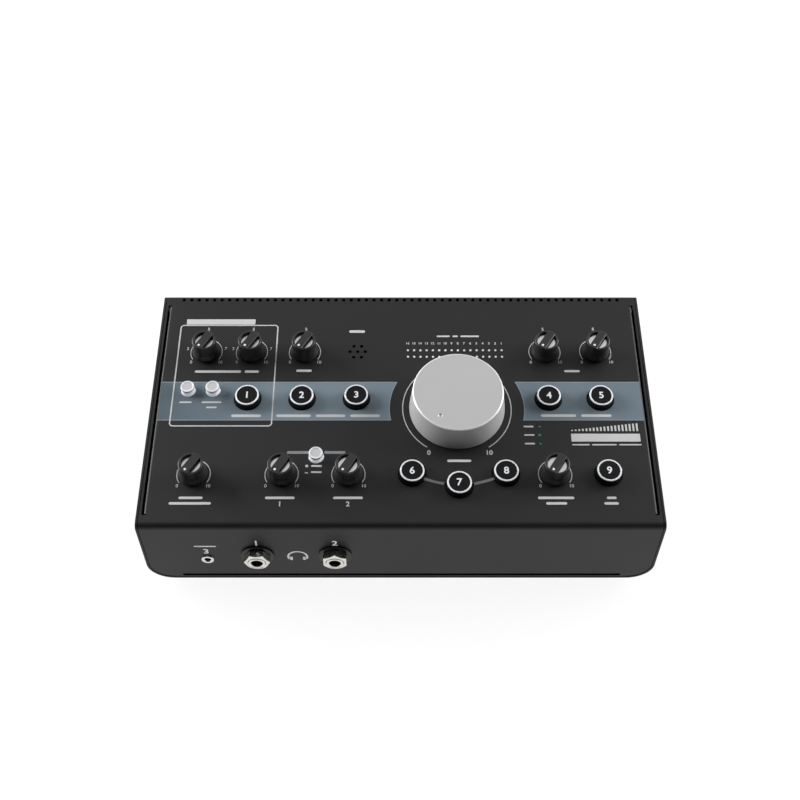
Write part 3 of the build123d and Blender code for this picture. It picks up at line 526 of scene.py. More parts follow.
def moulded(name, colour, roughness, grain=0.35, depth=0.01, mottle=0.12, **inputs):
    """Plastic, rubber or ink: a fine grain in the surface and a slow drift in its colour and gloss."""
    gloss = (0.12, 0.08, roughness - 0.1)
    return grained(name, colour, mottle, (14.0, 3.0), (grain,), gloss, (depth,), **inputs)


def metal(name, colour, roughness, grain=0.25, depth=0.004):
    """Plated or blasted metal: an even fine grain, with faint handling marks in its gloss."""
    gloss = (0.1, 0.08, roughness - 0.09)
    return grained(name, colour, 0.05, (9.0, 4.0, 0.6), (grain,), gloss, (depth,), Metallic=1.0)


def case_paint(look):
    """Baked satin paint with a fine leathery grain, a little thinner and shinier in places."""
    slow, fine, gloss = (45.0, 3.0), (0.45, 3.0, 0.6), (0.2, 0.06, 0.36)
    level = look.paint_gloss
    return grained("case_paint", look.paint, 0.07, slow, fine, gloss, (0.03, 0.5), Specular_IOR_Level=level)


def band_paint(look):
    """The printed band, finely speckled: its blue grey is painted darkest at the left end and lightest in the
    middle, as painted shade and light along the band rather than a change in its ink.
    """
    finish = Finish("band_paint", Specular_IOR_Level=0.3)
    across, speckle = finish.across(), finish.noise(1.1)
    # painted shade at the left end, fading towards the middle
    left = finish.blend(across.ramp(-140.0, -70.0), look.band_left_painted_shade, look.band)
    share = across.ramp(-20.0, 60.0) * 0.9 + speckle * 0.1
    finish.set(Base_Color=finish.blend(share, left, look.band_right_painted_shade), Roughness=speckle * 0.12 + 0.46)
    finish.bump(finish.noise(0.45, 3.0, 0.6), 0.02, 0.4)
    return finish.material


def cap_with_painted_light(look, height):
    """Off-white moulding with painted light: the dish is painted darker, the rim lighter as a painted highlight,
    and the flank lighter with a painted glow.
    """
    finish = Finish("push_white", Emission_Strength=1.0)
    over, cloud = finish.height_over(PANEL), finish.noise(5.0)
    # painted light: the flank lighter and glowing low down, the rim a painted highlight, the dish darker
    flank = over.ramp(height - 0.8, height - 2.4)
    rim = over.ramp(height - 0.14, height - 0.05) * 0.7
    finish.tint(flank + rim, look.cap, 0.68, 1.1)
    # the flank's painted glow
    finish.set(Emission_Color=finish.blend(flank, (0.0, 0.0, 0.0), (0.3, 0.31, 0.33)))
    finish.set(Roughness=cloud * 0.1 + 0.36)
    finish.bump(finish.noise(0.3), 0.006)
    return finish.material


def satin_silver(look):
    """Silver lacquer with fine flakes: satin all over, about a third metal and the rest paint."""
    finish = Finish("satin_silver", Metallic=0.35)
    flakes, slow = finish.noise(0.22, 2.0, 0.6), finish.noise(16.0, 3.0)
    finish.tint(slow * 0.5 + flakes * 0.5, look.silver, 0.95, 1.05)
    finish.set(Roughness=flakes * 0.14 + slow * 0.05 + 0.36)
    finish.bump(flakes, 0.01, 0.4)
    return finish.material


def turned_edge_highlight(look):
    """A cut edge with the turning tool's fine circles round the volume axis, painted lighter than the silver and
    barely metal: a painted highlight in place of the cut edge's reflection.
    """
    finish = Finish("turned_edge_highlight", Metallic=0.1)
    rings = (finish.height_over(PANEL) * 60.0).math("SINE") * 0.5 + 0.5
    # the silver made half again lighter: the cut edge's painted highlight
    finish.tint(rings, look.silver, 1.54, 1.64)
    finish.set(Roughness=rings * 0.08 + 0.3)
    finish.bump(rings, 0.004, 0.3)
    return finish.material


def lit_lens(name, colour, glow):
    """A milky light pipe or printed light ring, a little brighter where its light comes through; on the front
    print it gives the ink a painted glow.
    """
    finish = Finish(name, Roughness=0.35, Emission_Strength=glow)
    cloud = finish.noise(0.8)
    finish.tint(cloud, colour, 0.85, 1.0)
    finish.set(Emission_Color=finish.blend(cloud, shade(colour, 0.7), colour))
    return finish.material


def board_green(name):
    """Green solder mask over copper areas that show as a lighter weave of tracks."""
    finish = Finish(name, Roughness=0.35)
    weave = {"Vector": finish.place, "Scale": 180.0, "Mortar Size": 0.06, "Mortar Smooth": 0.1}
    tracks = finish.node("TexBrick", weave, output="Fac")
    mask = finish.blend(finish.noise(30.0, 3.0), (0.01, 0.09, 0.035), (0.018, 0.13, 0.05))
    finish.set(Base_Color=finish.blend(tracks, mask, (0.05, 0.2, 0.08)))
    finish.bump(tracks, 0.03, 0.5)
    return finish.material


def ribbon_grey(name):
    """Ribbon cable: ridges 1.27 mm apart across its width, its grey painted darker in the grooves between them as
    painted shade.
    """
    finish = Finish(name, Roughness=0.45)
    ridge_and_shade = (finish.across() * (pi / 1.27)).math("SINE").math("ABSOLUTE")
    # painted shade in the grooves, lighter grey on the crests
    finish.set(Base_Color=finish.blend(ridge_and_shade, (0.16, 0.17, 0.18), (0.38, 0.39, 0.41)))
    finish.bump(ridge_and_shade, 0.3, 0.8)
    return finish.material


# --- Settings ---


def colour(name, description, default):
    return FloatVectorProperty(
        name=name, description=description, default=default, subtype="COLOR", size=3, min=0.0, max=1.0
    )


def number(name, description, default, **options):
    return FloatProperty(name=name, description=description, default=default, min=0.0, **options)


class FinishSettings(bpy.types.PropertyGroup):
    """Colours of the finishes, as the surfaces show them."""

    paint: colour("Case paint", "Anthracite of the tray, cover and rear panel", (0.012, 0.012, 0.0132))
    paint_gloss: number("Paint gloss", "Specular level of the case paint", 0.35, max=1.0)
    # the band's three colours paint its shade and light from end to end
    band_left_painted_shade: colour("Band, left end", "Blue grey of the band at its left end", (0.073, 0.103, 0.124))
    band: colour("Band", "Blue grey of the printed band in its middle", (0.188, 0.243, 0.287))
    band_right_painted_shade: colour("Band, right end", "Blue grey of the band at its right end", (0.158, 0.205, 0.244))
    # a painted highlight round the band's edges
    band_edge_highlight: colour("Band edge", "Paler line round the printed band", (0.3, 0.35, 0.39))
    ink: colour("Ink", "Light ink of lines and numbers", (0.6, 0.6, 0.6))
    grey_ink: colour("Grey ink", "Mid grey ink of the linking lines", (0.24, 0.245, 0.255))
    silver: colour("Silver", "Satin silver volume knob", (0.56, 0.555, 0.555))
    knob: colour("Knob", "Black of knobs and keys", (0.017, 0.017, 0.018))
    cap: colour("Push cap", "Off-white of the push caps and key rings", (0.84, 0.85, 0.88))


class ShapeSettings(bpy.types.PropertyGroup):
    """Sizes of the finished controls, in mm."""

    vent: number("Vent", "Radius of the vents along the rear edge", 1.1)
    knob_base: number("Knob foot", "Radius of a small knob at the panel", 7.8)
    knob_top: number("Knob top", "Radius of a small knob under its top edge", 6.6)
    knob_height: number("Knob height", "Height of a small knob's bar over the panel", 12.8)
    bar_width: number("Bar width", "Width of a small knob's raised bar", 4.6)
    key_height: number("Key height", "Height of a round key over the panel", 4.5)
    ring_width: number("Key ring", "Width of the light ring round a key's top", 0.85)
    push_height: number("Push height", "Height of a push cap over the panel", 4.1)
    volume_height: number("Volume height", "Height of the volume knob over the panel", 17.57)


class StageSettings(bpy.types.PropertyGroup):
    """Camera and light of the plain studio."""

    lens: number("Lens", "Focal length on a 36 mm sensor", 52.9, unit="CAMERA")
    sky_front: number("Front sky", "Level of the sky on the camera's side", 0.06)
    sky_back: number("Back sky", "Level of the sky over and behind the case", 0.73)
    left_light: number("Left light", "Power of the left softbox", 28.0, unit="POWER")
    right_light: number("Right light", "Power of the right softbox", 22.0, unit="POWER")
    floor: colour("Floor", "Plain pale floor", (0.9, 0.9, 0.9))


def settings():
    scene = bpy.context.scene
    return scene.controller_finish, scene.controller_shape, scene.controller_stage


# --- Stage: its places are in metres ---


class CONTROLLER_OT_stage(bpy.types.Operator):
    """Camera, pale floor, softboxes and sky"""

    bl_idname = "controller.stage"
    bl_label = "Stage"

    camera_from_edge = (-0.36, -329.8, 526.1)  # in mm, from the middle of the panel's front edge
    camera_tilt = 38.25
    softboxes = {"left_softbox": (-1.2, 0.4, 0.45), "right_softbox": (1.2, 0.35, 0.45)}
    softbox_aim, softbox_size = (0, 0, 0.05), 0.8
    floor_reach, floor_drop = 6.0, 0.0001
    floor_glow, floor_share = 1.08, 0.85  # as it is seen, and how much of that is mixed in

    def execute(self, context):
        _, _, stage = settings()
        scene = context.scene
        scene.camera = camera = add_object("camera", bpy.data.cameras.new("camera"))
        camera.data.lens, camera.data.sensor_width = stage.lens, 36.0
        camera.data.clip_start, camera.data.clip_end = 0.01, 50.0
        camera.location = Vector(PANEL.origin + self.camera_from_edge) * MM
        camera.rotation_euler = Euler((radians(self.camera_tilt), 0, 0))
        scene.view_settings.view_transform = "Standard"
        for (name, place), power in zip(self.softboxes.items(), (stage.left_light, stage.right_light)):
            self.softbox(name, place, power)
        self.lay_floor(stage.floor)
        self.paint_sky(scene, stage)
        return {"FINISHED"}

    def softbox(self, name, place, power):
        """A square lamp that looks at the case."""
        lamp = bpy.data.lights.new(name, "AREA")
        lamp.shape, lamp.energy = "RECTANGLE", power
        lamp.size = lamp.size_y = self.softbox_size
        holder = add_object(name, lamp)
        holder.location = place
        holder.rotation_euler = (Vector(self.softbox_aim) - Vector(place)).to_track_quat("-Z", "Y").to_euler()

    def lay_floor(self, pale):
        """A level sheet just under the feet, seen a little lighter than it is lit so that it stays white."""
        mesh = bpy.data.meshes.new("floor")
        far = self.floor_reach
        mesh.from_pydata([(-far, -far, 0), (far, -far, 0), (far, far, 0), (-far, far, 0)], [], [(0, 1, 2, 3)])
        floor = add_object("floor", mesh)
        floor.location.z = -self.floor_drop
        finish = Finish("floor_paper", Roughness=0.9, Specular_IOR_Level=0.1, Base_Color=pale)
        finish.bump(finish.noise(3.0), 0.01, 0.1)
        rays = ("Is Camera Ray", "Is Glossy Ray", "Is Transmission Ray")
        camera, glossy, through = (finish.node("LightPath", output=ray) for ray in rays)
        white = finish.node("Emission", {"Color": (1, 1, 1), "Strength": self.floor_glow})
        paper = Sock(finish.tree, finish.shader.outputs[0])
        share = (camera + glossy + through) * self.floor_share
        mix = finish.node("MixShader", {0: share, 1: paper, 2: white})
        plug(finish.tree, finish.tree.nodes["Material Output"].inputs["Surface"], mix)
        mesh.materials.append(finish.material)

    def paint_sky(self, scene, stage):
        """White for the camera. For light it rises from the dark side behind the camera to the bright
        one over and behind the case, with 0.8 of the direction's y plus 0.45 of its z."""
        scene.world = world = bpy.data.worlds.new("sky")
        world.use_nodes = True
        tree = world.node_tree
        seen = add_node(tree, "LightPath", output="Is Camera Ray")
        ray = {0: add_node(tree, "TexCoord", output="Generated")}
        y, z = (add_node(tree, "SeparateXYZ", ray, output=axis) for axis in "YZ")
        towards = y * 0.8 + z * 0.45
        level = towards.ramp(0.35, 0.65) * (stage.sky_back - stage.sky_front) + stage.sky_front
        background = tree.nodes["Background"].inputs
        plug(tree, background["Color"], (1.0, 1.0, 1.0))
        plug(tree, background["Strength"], level * (1 - seen) + seen)


# --- Case ---


class CONTROLLER_OT_case(bpy.types.Operator):
    """Bent cover, tray and rear panel with all their holes and slots"""

    bl_idname = "controller.case"
    bl_label = "Case"

    half = (CASE_WIDTH - 2 * (SHEET + SEAM)) / 2  # of the cover and the rear panel
    low = FOOT_HEIGHT + SHEET + SEAM  # their underside
    tray_bend = 14.0
    cover_bend = tray_bend - SHEET - SEAM
    hem_bend, front_bend, rear_bend = 0.5, 3.5, 1.8
    corner_rise = 0.6  # from the underside up to where a lower corner's arc ends
    flange, lip = 12.0, 8.0
    side_length, side_middle, side_depth = 134.5, 76.25, 9.0  # of the turned-down sides
    slot_in, slot_out, slot_middle, slot_length = 134.7, 137.2, 75.95, 137.9
    roll_radius, roll_tilt, roll_ends = 1.6, 55.0, (7.9, 144.2)
    front_slot = (244.2, 2.1)
    front_slot_u, front_slot_rise = 0.5, 2.2
    vent_inset = 3.1
    tube_hole, screw_hole = 4.8, 1.6

    def execute(self, context):
        look, shape, _ = settings()
        paint = case_paint(look)
        self.cover(paint, shape.vent)
        self.tray(paint)
        self.rear(paint)
        return {"FINISHED"}

    def outline(self, corner, top, flange):
        """A sheet's flat outline: from the flange's end, narrower by the lower corners' radius, round
        each corner and along the sides to the top; all three are lengths along the line."""
        reach = self.half - self.cover_bend
        line = [(reach, corner), (self.half, corner, self.cover_bend), (self.half, top)]
        right = np.array([(reach, flange), *rounded(line, 8)[0][1:-1], (self.half, top)])
        return np.concatenate([right, right[::-1] * (-1, 1)])

    def screw_holes(self, fold, y):
        """Holes for one row of screws in a bottom flange."""
        return [circle(x, fold.s_of(y, self.low), self.screw_hole, 20) for x in SCREW_X]

    def cover(self, paint, vent):
        """Front flange, front face, panel and rear lip as one bent sheet, with its turned-down sides."""
        top = panel_z(Y_REAR)
        fold = Fold([
            (Y_FRONT + self.flange, self.low), (Y_FRONT, self.low, self.hem_bend),
            (Y_FRONT, Z_EDGE, self.front_bend), (Y_REAR, top, self.rear_bend), (Y_REAR, top - self.lip),
        ])
        up = fold.s_of(*PANEL.points([0, 75.0, 0])[1:]) - 75.0  # length along the sheet where v is 0
        on_front = lambda x, z: (x, fold.s_of(Y_FRONT, z))
        outline = self.outline(fold.s_of(Y_FRONT, self.low + self.corner_rise), fold.s[-1], 0.0)
        # (places, radius, sides) of round holes, and (places, width, radius) of square ones
        circles = (
            (map(crown, KNOBS), 3.8, 24),
            (map(crown, KEYS), KEY_HOLE, 64),
            (map(crown, PUSHES), PUSH_HOLE, 40),
            ([VOLUME], 4.6, 32),
            ([(u, PANEL_LENGTH - self.vent_inset) for u in VENT_ROW], vent, 14),
            (MIC_HOLES, 1.0, 20),
        )
        squares = ((METER, 1.5, 0.35), (STATUS, 1.9, 0.5))
        slot = (self.slot_in + self.slot_out) / 2
        holes = [
            *(circle(u, up + v, radius, sides) for spots, radius, sides in circles for u, v in spots),
            *(box(u, up + v, width, width, radius) for spots, width, radius in squares for u, v in spots),
            *(
                box(side * slot, up + self.slot_middle, self.slot_out - self.slot_in, self.slot_length, 0.6)
                for side in (-1, 1)
            ),
            bar(*on_front(self.front_slot_u, self.low + self.front_slot_rise), *self.front_slot),
            *(circle(*on_front(*mount_xz(name)), self.tube_hole, 40) for name in PHONES),
            circle(*on_front(*mount_xz("aux_input")), 3.6, 36),
            *self.screw_holes(fold, SCREW_ROWS[0]),
        ]
        side_u = self.half - SHEET / 2
        sides = [
            slab(
                PANEL, [box(side * side_u, self.side_middle, SHEET, self.side_length)], [],
                -self.side_depth, -SHEET - 0.02,
            )
            for side in (-1, 1)
        ]
        rolled = [self.rolled_edge(side) for side in (-1, 1)]
        shells = [fold.shell(outline, holes), *sides, *rolled]
        make("cover_sheet", "case_paint", paint, shells, "front_plate", "top_cover")

    def rolled_edge(self, side):
        """The rolled inner edge of a long slot: an arc from the panel's face down and outwards, with the
        sheet's thickness under it, carried along the slot."""
        along = Seat(PANEL.origin, PANEL.axes[0], PANEL.axes[1])
        tilt = np.linspace(0, radians(self.roll_tilt), 8)
        across = self.slot_in + self.roll_radius * np.sin(tilt)
        drop = self.roll_radius * (1 - np.cos(tilt))
        under = [(across[-1], SHEET), (self.slot_in, SHEET)]
        outline = np.concatenate([np.column_stack([across, drop]), under]) * (side, 1)
        return slab(along, [outline], [], *self.roll_ends)

    def tray(self, paint):
        """Floor and both side walls as one bent sheet; the walls' tops follow the panel's slope."""
        half, low, tall = CASE_WIDTH / 2, FOOT_HEIGHT, 90.0  # tall: over the walls' tops
        corners = [(half, tall), (half, low, self.tray_bend), (-half, low, self.tray_bend), (-half, tall)]
        fold = Fold(corners, order=(1, 0, 2), steps=12)
        front, rear = (tall - panel_z(y) for y in (Y_FRONT, Y_REAR))
        outline = loop([
            (Y_FRONT, front, self.front_bend), (Y_FRONT, fold.s[-1] - front, self.front_bend),
            (Y_REAR, fold.s[-1] - rear, self.rear_bend), (Y_REAR, rear, self.rear_bend),
        ])
        holes = [circle(y, fold.s_of(x, low), self.screw_hole, 20) for y in SCREW_ROWS for x in SCREW_X]
        make("tray_sheet", "case_paint", paint, [fold.shell(outline, holes)], "base_tray")

    def rear(self, paint):
        """The rear panel and its bottom flange as one bent sheet."""
        top = panel_z(Y_BACK - SHEET, SHEET) - SEAM
        fold = Fold([(Y_BACK, top), (Y_BACK, self.low, self.hem_bend), (Y_BACK - self.flange, self.low)])
        on_back = lambda x, z: (x, fold.s_of(Y_BACK, z))
        outline = self.outline(fold.s_of(Y_BACK, self.low + self.corner_rise), 0.0, fold.s[-1])
        rounds = ((LINE_SOCKETS, self.tube_hole, 40), (COMBO_SOCKETS, 11.9, 72))
        holes = [circle(*on_back(*mount_xz(name)), r, n) for names, r, n in rounds for name in names]
        for node in ("usb_socket", "power_inlet", "power_switch_frame"):
            x, z, width, height, *_ = extent(node)
            opening = (14.0, 20.8) if node == "power_switch_frame" else (width + 0.2, height + 0.2)
            holes.append(box(*on_back(x, z), *opening, 0.3))
        holes += self.screw_holes(fold, SCREW_ROWS[1])
        make("rear_sheet", "case_paint", paint, [fold.shell(outline, holes)], "rear_panel")


# --- Feet and screws ---


class CONTROLLER_OT_fixings(bpy.types.Operator):
    """Rubber feet and the screws under the case"""

    bl_idname = "controller.fixings"
    bl_label = "Feet and screws"

    foot_x, foot_inset = 112.0, 18.0

    def execute(self, context):
        rubber = moulded("foot_rubber", (0.02, 0.02, 0.02), 0.75, grain=0.5, depth=0.03)
        steel = metal("screw_steel", (0.09, 0.09, 0.1), 0.4)
        foot = [(0, 0.5), (2.2, 0.5), (2.6, 0, 0.2), (5.7, 0, 0.6), (6.0, FOOT_HEIGHT), (0, FOOT_HEIGHT)]
        rows = (Y_FRONT + self.foot_inset, Y_REAR - self.foot_inset)
        feet = [turned(FLOOR.at(x, y), foot, 48, 4) for x in (-self.foot_x, self.foot_x) for y in rows]
        make("feet", "foot_rubber", rubber, feet, "rubber_feet")
        seats = [Seat((x, y, FOOT_HEIGHT), (1, 0, 0), (0, 0, -1)) for x in SCREW_X for y in SCREW_ROWS]
        screws = [shell for seat in seats for shell in self.screw(seat)]
        make("screws", "screw_steel", steel, screws, "case_screws")
        return {"FINISHED"}

    def screw(self, seat):
        """A pan head with a cross recess, and its shank: the head's face is a disc less a cross, which
        is one arm turned to four sides."""
        half, reach, disc = 0.28, 1.15, circle(0, 0, 1.9, 36)
        arm = np.array([(reach, -half), (reach, half), (half, half)])
        cross = np.concatenate([arm, arm[:, ::-1] * (-1, 1), -arm, arm[:, ::-1] * (1, -1)])
        return [
            slab(seat, [disc], [cross], 0.9, 1.75),
            ring(seat, [(1.9, 1.75), (2.4, 1.7, 0.7), (2.75, 0.2, 0.1), (2.6, 0), (1.9, 0)], 36),
            slab(seat, [disc], [], 0.0, 0.9),
            lathe(seat, [(0, -5.5), (1.0, -5.5), (1.45, -4.8), (1.45, 0), (0, 0)], 24),
        ]


# --- Print ---


class CONTROLLER_OT_print(bpy.types.Operator):
    """Printed band, lines, arcs, plates and plain numbers"""

    bl_idname = "controller.print"
    bl_label = "Print"

    ink_low, ink_high = 0.022, 0.04  # of the ink over the panel, above the band
    band_low, band_high, band_end = 65.5, 91.0, 135.1  # in v, and its ends in u
    band_clear = 37.5  # radius of its arcs about the volume knob

    def execute(self, context):
        look, _, _ = settings()
        ink = moulded("light_ink", look.ink, 0.5, mottle=0.05, Specular_IOR_Level=0.3)
        # bright: the front print's white ink with a painted glow
        bright = lit_lens("front_ink_painted_glow", (1.0, 1.0, 1.0), 0.15)
        grey = moulded("grey_ink", look.grey_ink, 0.5, mottle=0.08, Specular_IOR_Level=0.3)
        self.bands(look)
        self.lines(ink)
        self.links(grey)
        self.numbers(ink)
        self.front_print(bright)
        return {"FINISHED"}

    def bands(self, look):
        """Two stretches of the band on a paler base, whose rim round the band is a painted highlight, each ending
        in an arc about the volume knob.
        """
        rounds = ((KEYS[:5], KEY_HOLE), (PUSHES[:2], PUSH_HOLE))
        holes = [circle(*crown(node), radius, 64) for nodes, radius in rounds for node in nodes]
        # the paler base's rim: a painted highlight along the band's edges
        edge = moulded("band_edge_highlight", look.band_edge_highlight, 0.5, mottle=0.05, Specular_IOR_Level=0.3)
        layers = (("band_rim_highlight", edge, 0.0, 0.002), ("band", band_paint(look), 0.4, 0.012))
        for name, material, inset, low in layers:
            shell = slab(PANEL, self.stretches(inset), holes, low, low + 0.01)
            make(f"printed_{name}", "case_paint", material, [shell])

    def stretches(self, inset):
        """Outlines of the band's two stretches, drawn in by inset: each arc's points lie at its radius
        times the cosine and sine from the knob's axis, up to the band's edges."""
        u, v = VOLUME
        low, high = self.band_low + inset - v, self.band_high - inset - v
        clear, end = self.band_clear + inset, self.band_end
        angles = np.linspace(asin(low / clear), asin(high / clear), 24)
        arc = np.column_stack([clear * np.cos(angles), clear * np.sin(angles)])
        return [
            np.array([*(arc * (side, 1)), (side * end - u, high), (side * end - u, low)]) + VOLUME
            for side in (1, -1)
        ]

    def lines(self, ink):
        """Frame, dial rings, the volume ring, bars for headings, plates and the level wedge."""
        frame_u, frame_v = -99.8, 96.15
        rings = [band(*crown(node), 9.0, 0.45, -33, 213, 56) for node in KNOBS]
        rings.append(band(*VOLUME, 30.3, 0.5, -56, 236, 120))
        # (u, v, width, height, letters of each word)
        heads = [
            (-99.0, 98.0, 36.5, 1.6, (13, 4)), (-55.1, 98.6, 8.8, 1.5, (4,)), (97.6, 98.3, 8.8, 1.5, (4,)),
            (-25.3, 126.0, 9.2, 1.8, (3,)), (33.2, 122.6, 24.6, 1.1, (5, 2, 7)),
            (-86.0, 68.5, 16.5, 1.7, (6,)), (-40.4, 68.5, 57.6, 1.7, (7, 6, 6)),
            (97.6, 68.6, 39.3, 1.7, (7, 6)), (-120.6, 77.4, 6.9, 1.0, (4,)),
            (-105.9, 77.4, 11.2, 1.0, (6,)), (-105.7, 74.0, 5.9, 1.0, (3,)), (-112.0, 17.2, 12.8, 1.5, (6,)),
            (-112.1, 13.9, 22.5, 1.5, (10,)), (-64.4, 17.2, 15.9, 1.5, (6,)), (-28.1, 17.2, 15.9, 1.5, (6,)),
            (31.8, 39.8, 13.1, 1.5, (6,)), (82.9, 17.2, 19.4, 1.5, (8,)), (82.9, 13.9, 11.2, 1.5, (5,)),
            (112.5, 17.2, 5.2, 1.5, (2,)), (112.1, 13.9, 7.8, 1.5, (3,)), (70.7, 61.5, 5.6, 1.0, (3,)),
            (70.9, 56.1, 5.6, 1.0, (3,)), (70.8, 50.6, 5.6, 1.0, (4,)), (-45.6, 36.6, 5.8, 1.1, (3,)),
            (-45.6, 32.8, 5.8, 1.1, (3,)), (113.0, 49.9, 38.0, 0.8, (7, 10, 9)),
        ]
        bars = [word for head in heads for word in self.words(*head)]
        marks = [box(-50.9, 36.6, 1.5, 1.5, 0.3), box(-50.9, 32.4, 1.7, 0.7, 0.2)]
        wedge = [box(94.6 + 2.0 * i, 58.95 + 0.12 * i, 1.0, 0.7 + 0.24 * i, 0.2) for i in range(19)]
        plates = [box(-105.0, 132.9, 40.1, 3.75, 0.3), box(112.8, 54.4, 37.9, 5.0, 0.2)]
        outer, inner = box(frame_u, frame_v, 57.2, 69.2, 2.2, 5), box(frame_u, frame_v, 55.8, 67.8, 1.5, 5)
        shells = [
            slab(PANEL, [outer], [inner], self.ink_low, self.ink_high),
            slab(PANEL, [*rings, *bars, *marks, *wedge], [], self.ink_low, self.ink_high),
            slab(PANEL, plates, [], self.ink_low, 0.045),
        ]
        make("printed_lines", "push_white", ink, shells)

    def words(self, u, v, width, height, lengths):
        """A plain bar for each word of a heading, as long as its letters are many, a letter apart."""
        letter = width / (sum(lengths) + len(lengths) - 1)
        starts = u - width / 2 + letter * (np.cumsum([0, *lengths[:-1]]) + np.arange(len(lengths)))
        return [bar(start + letter * n / 2, v, letter * n, height) for start, n in zip(starts, lengths)]

    def links(self, grey):
        """Grey lines that join the phones knobs to their switch and the three lower keys to one another."""
        spots = [np.subtract(crown(node), VOLUME) for node in ("mono_key", "dim_key")]
        start, end = (degrees(atan2(y, x)) for x, y in spots)
        radius, wide, apart = 48.4, 1.6, 9.5  # apart: from the arc's middle, in degrees
        arcs = ((start + 8, -90 - apart), (-90 + apart, end - 8))
        outlines = [band(*VOLUME, radius, wide, *ends, 40) for ends in arcs]
        outlines += [bar((a + b) / 2, 45.0, b - a, 1.7) for a, b in ((-62.1, -49.8), (-41.8, -30.1))]
        shell = slab(PANEL, outlines, [], self.ink_low, self.ink_high)
        make("printed_links", "push_white", grey, [shell])

    def numbers(self, ink):
        """Dial ends and middles, the meter's scale, and one number for each phones knob."""
        dials = (
            (KNOBS, (("0", -8.3, -6.9), ("10", 8.6, -6.9))),
            (KNOBS[:2], (("3", -10.9, 2.4), ("7", 10.9, 2.4))),
            (KNOBS[:5], (("5", 0.0, 16.3),)),
        )
        small = [
            (text, u + du, v + dv)
            for nodes, texts in dials
            for u, v in map(crown, nodes)
            for text, du, dv in texts
        ]
        scale = [(str(16 - i), u, 117.6) for i, u in enumerate(METER_COLUMNS)]
        large = [("0", 15.4, 45.0), ("10", 48.6, 45.0), ("1", -64.3, 13.6), ("2", -28.1, 13.6)]
        seat = PANEL.at(0, 0, lift=self.ink_low)
        shells = numerals(seat, small, 1.9) + numerals(seat, scale, 1.5) + numerals(seat, large, 2.8)
        make("printed_numbers", "push_white", ink, shells)

    def front_print(self, ink):
        """Numbers over the phones sockets, the earphone sign between them and the small socket's mark, in white
        ink with a painted glow.
        """
        x, z = sum(mount_xz(name)[0] for name in PHONES) / 2 + 0.6, Z_EDGE - 30.2
        aux, low, high = mount_xz("aux_input")[0], 0.002, 0.025
        cups = [box(x + side * 3.5, z - 1.7, 1.5, 3.5, 0.6) for side in (-1, 1)]
        texts = [("1", -77.6, Z_EDGE - 16.3), ("2", -35.4, Z_EDGE - 16.3), ("3", aux, Z_EDGE - 24.6)]
        shells = [
            slab(FRONT, [band(x, z, 5.2, 1.1, -26, 206, 44)], [], low, high),
            slab(FRONT, cups, [], low, 0.027),
            slab(FRONT, [bar(aux, Z_EDGE - 19.5, 12.0, 1.0)], [], low, high),
            *numerals(FRONT, texts, 4.6, high),
        ]
        make("front_print", "push_white", ink, shells)


# --- Controls ---


class CONTROLLER_OT_small_knobs(bpy.types.Operator):
    """Nine black knobs with a raised bar, two inlaid crescents and a white dot"""

    bl_idname = "controller.small_knobs"
    bl_label = "Small knobs"

    gap, rim, floor, roof = 0.6, 12.2, 10.3, 9.6  # heights over the panel
    recess, room = 5.3, 6.1  # radii of the sunk top and of the space inside
    dot_at, dot = 4.5, 0.68

    def execute(self, context):
        look, shape, _ = settings()
        black = moulded("knob_black", look.knob, 0.36, grain=0.3, depth=0.008)
        silver = metal("knob_inlay", (0.8, 0.8, 0.81), 0.3)
        white = moulded("dot_white", (0.85, 0.85, 0.85), 0.4, mottle=0.03)
        high, low = shape.knob_height + 0.06, shape.knob_height - 0.3
        for node in KNOBS:
            seat = PANEL.at(*crown(node), POINTER_DEG)
            body = node.removesuffix("_knob") + "_dial"
            make(f"{node}_body", "knob_black", black, self.body(seat, shape), node, body=body)
            make(f"{node}_inlay", "volume_silver", silver, [self.inlay(seat, shape)], body=body)
            dot = [(0, high), (self.dot, high, 0.08), (self.dot, low), (0, low)]
            make(f"{node}_dot", "push_white", white, [turned(seat.at(self.dot_at, 0), dot, 20, 3)], body=body)
        return {"FINISHED"}

    def body(self, seat, shape):
        """The lathed body with its rim and recess, open below for its shaft, and the bar on top: the
        part of the body's disc that lies within half the bar's width of the pointer line."""
        foot, top, sunk = shape.knob_base, shape.knob_top, self.floor - 0.1
        outside = [
            (self.room, self.roof), (self.room, self.gap), (foot - 0.2, self.gap, 0.3), (foot, 2.0, 1.2),
            (top + 0.3, 5.0, 6.0), (top, self.rim, 0.4), (self.recess + 0.15, self.rim, 0.25),
            (self.recess, sunk), (0, sunk),
        ]
        hub = [(3.05, 0.7), (4.6, 0.7, 0.2), (4.8, self.roof), (3.05, self.roof)]
        half, reach = shape.bar_width / 2, top - 0.12
        edge = asin(half / reach)
        arc = np.linspace(-edge, edge, 9)
        end = reach * np.column_stack([np.cos(arc), np.sin(arc)])
        outline = np.concatenate([end, -end])
        inset = outline * ((reach - 0.25) / reach, (half - 0.2) / half)
        high = shape.knob_height
        return [
            turned(seat, outside, 80),
            ring(seat, hub, 40),
            turned(seat, [(self.room, self.roof), (0, self.roof)], 80),
            stacked(seat, ((self.floor - 0.4, outline), (high - 0.2, outline), (high, inset))),
        ]

    def inlay(self, seat, shape):
        """Two segments of a disc on the recess's floor, one each side of the bar."""
        half, reach = shape.bar_width / 2 + 0.35, self.recess - 0.25
        start = asin(half / reach)
        arc = np.linspace(start, pi - start, 28)
        upper = np.column_stack([reach * np.cos(arc), reach * np.sin(arc)])
        return slab(seat, [upper, -upper], [], self.floor - 0.3, self.floor + 0.05)


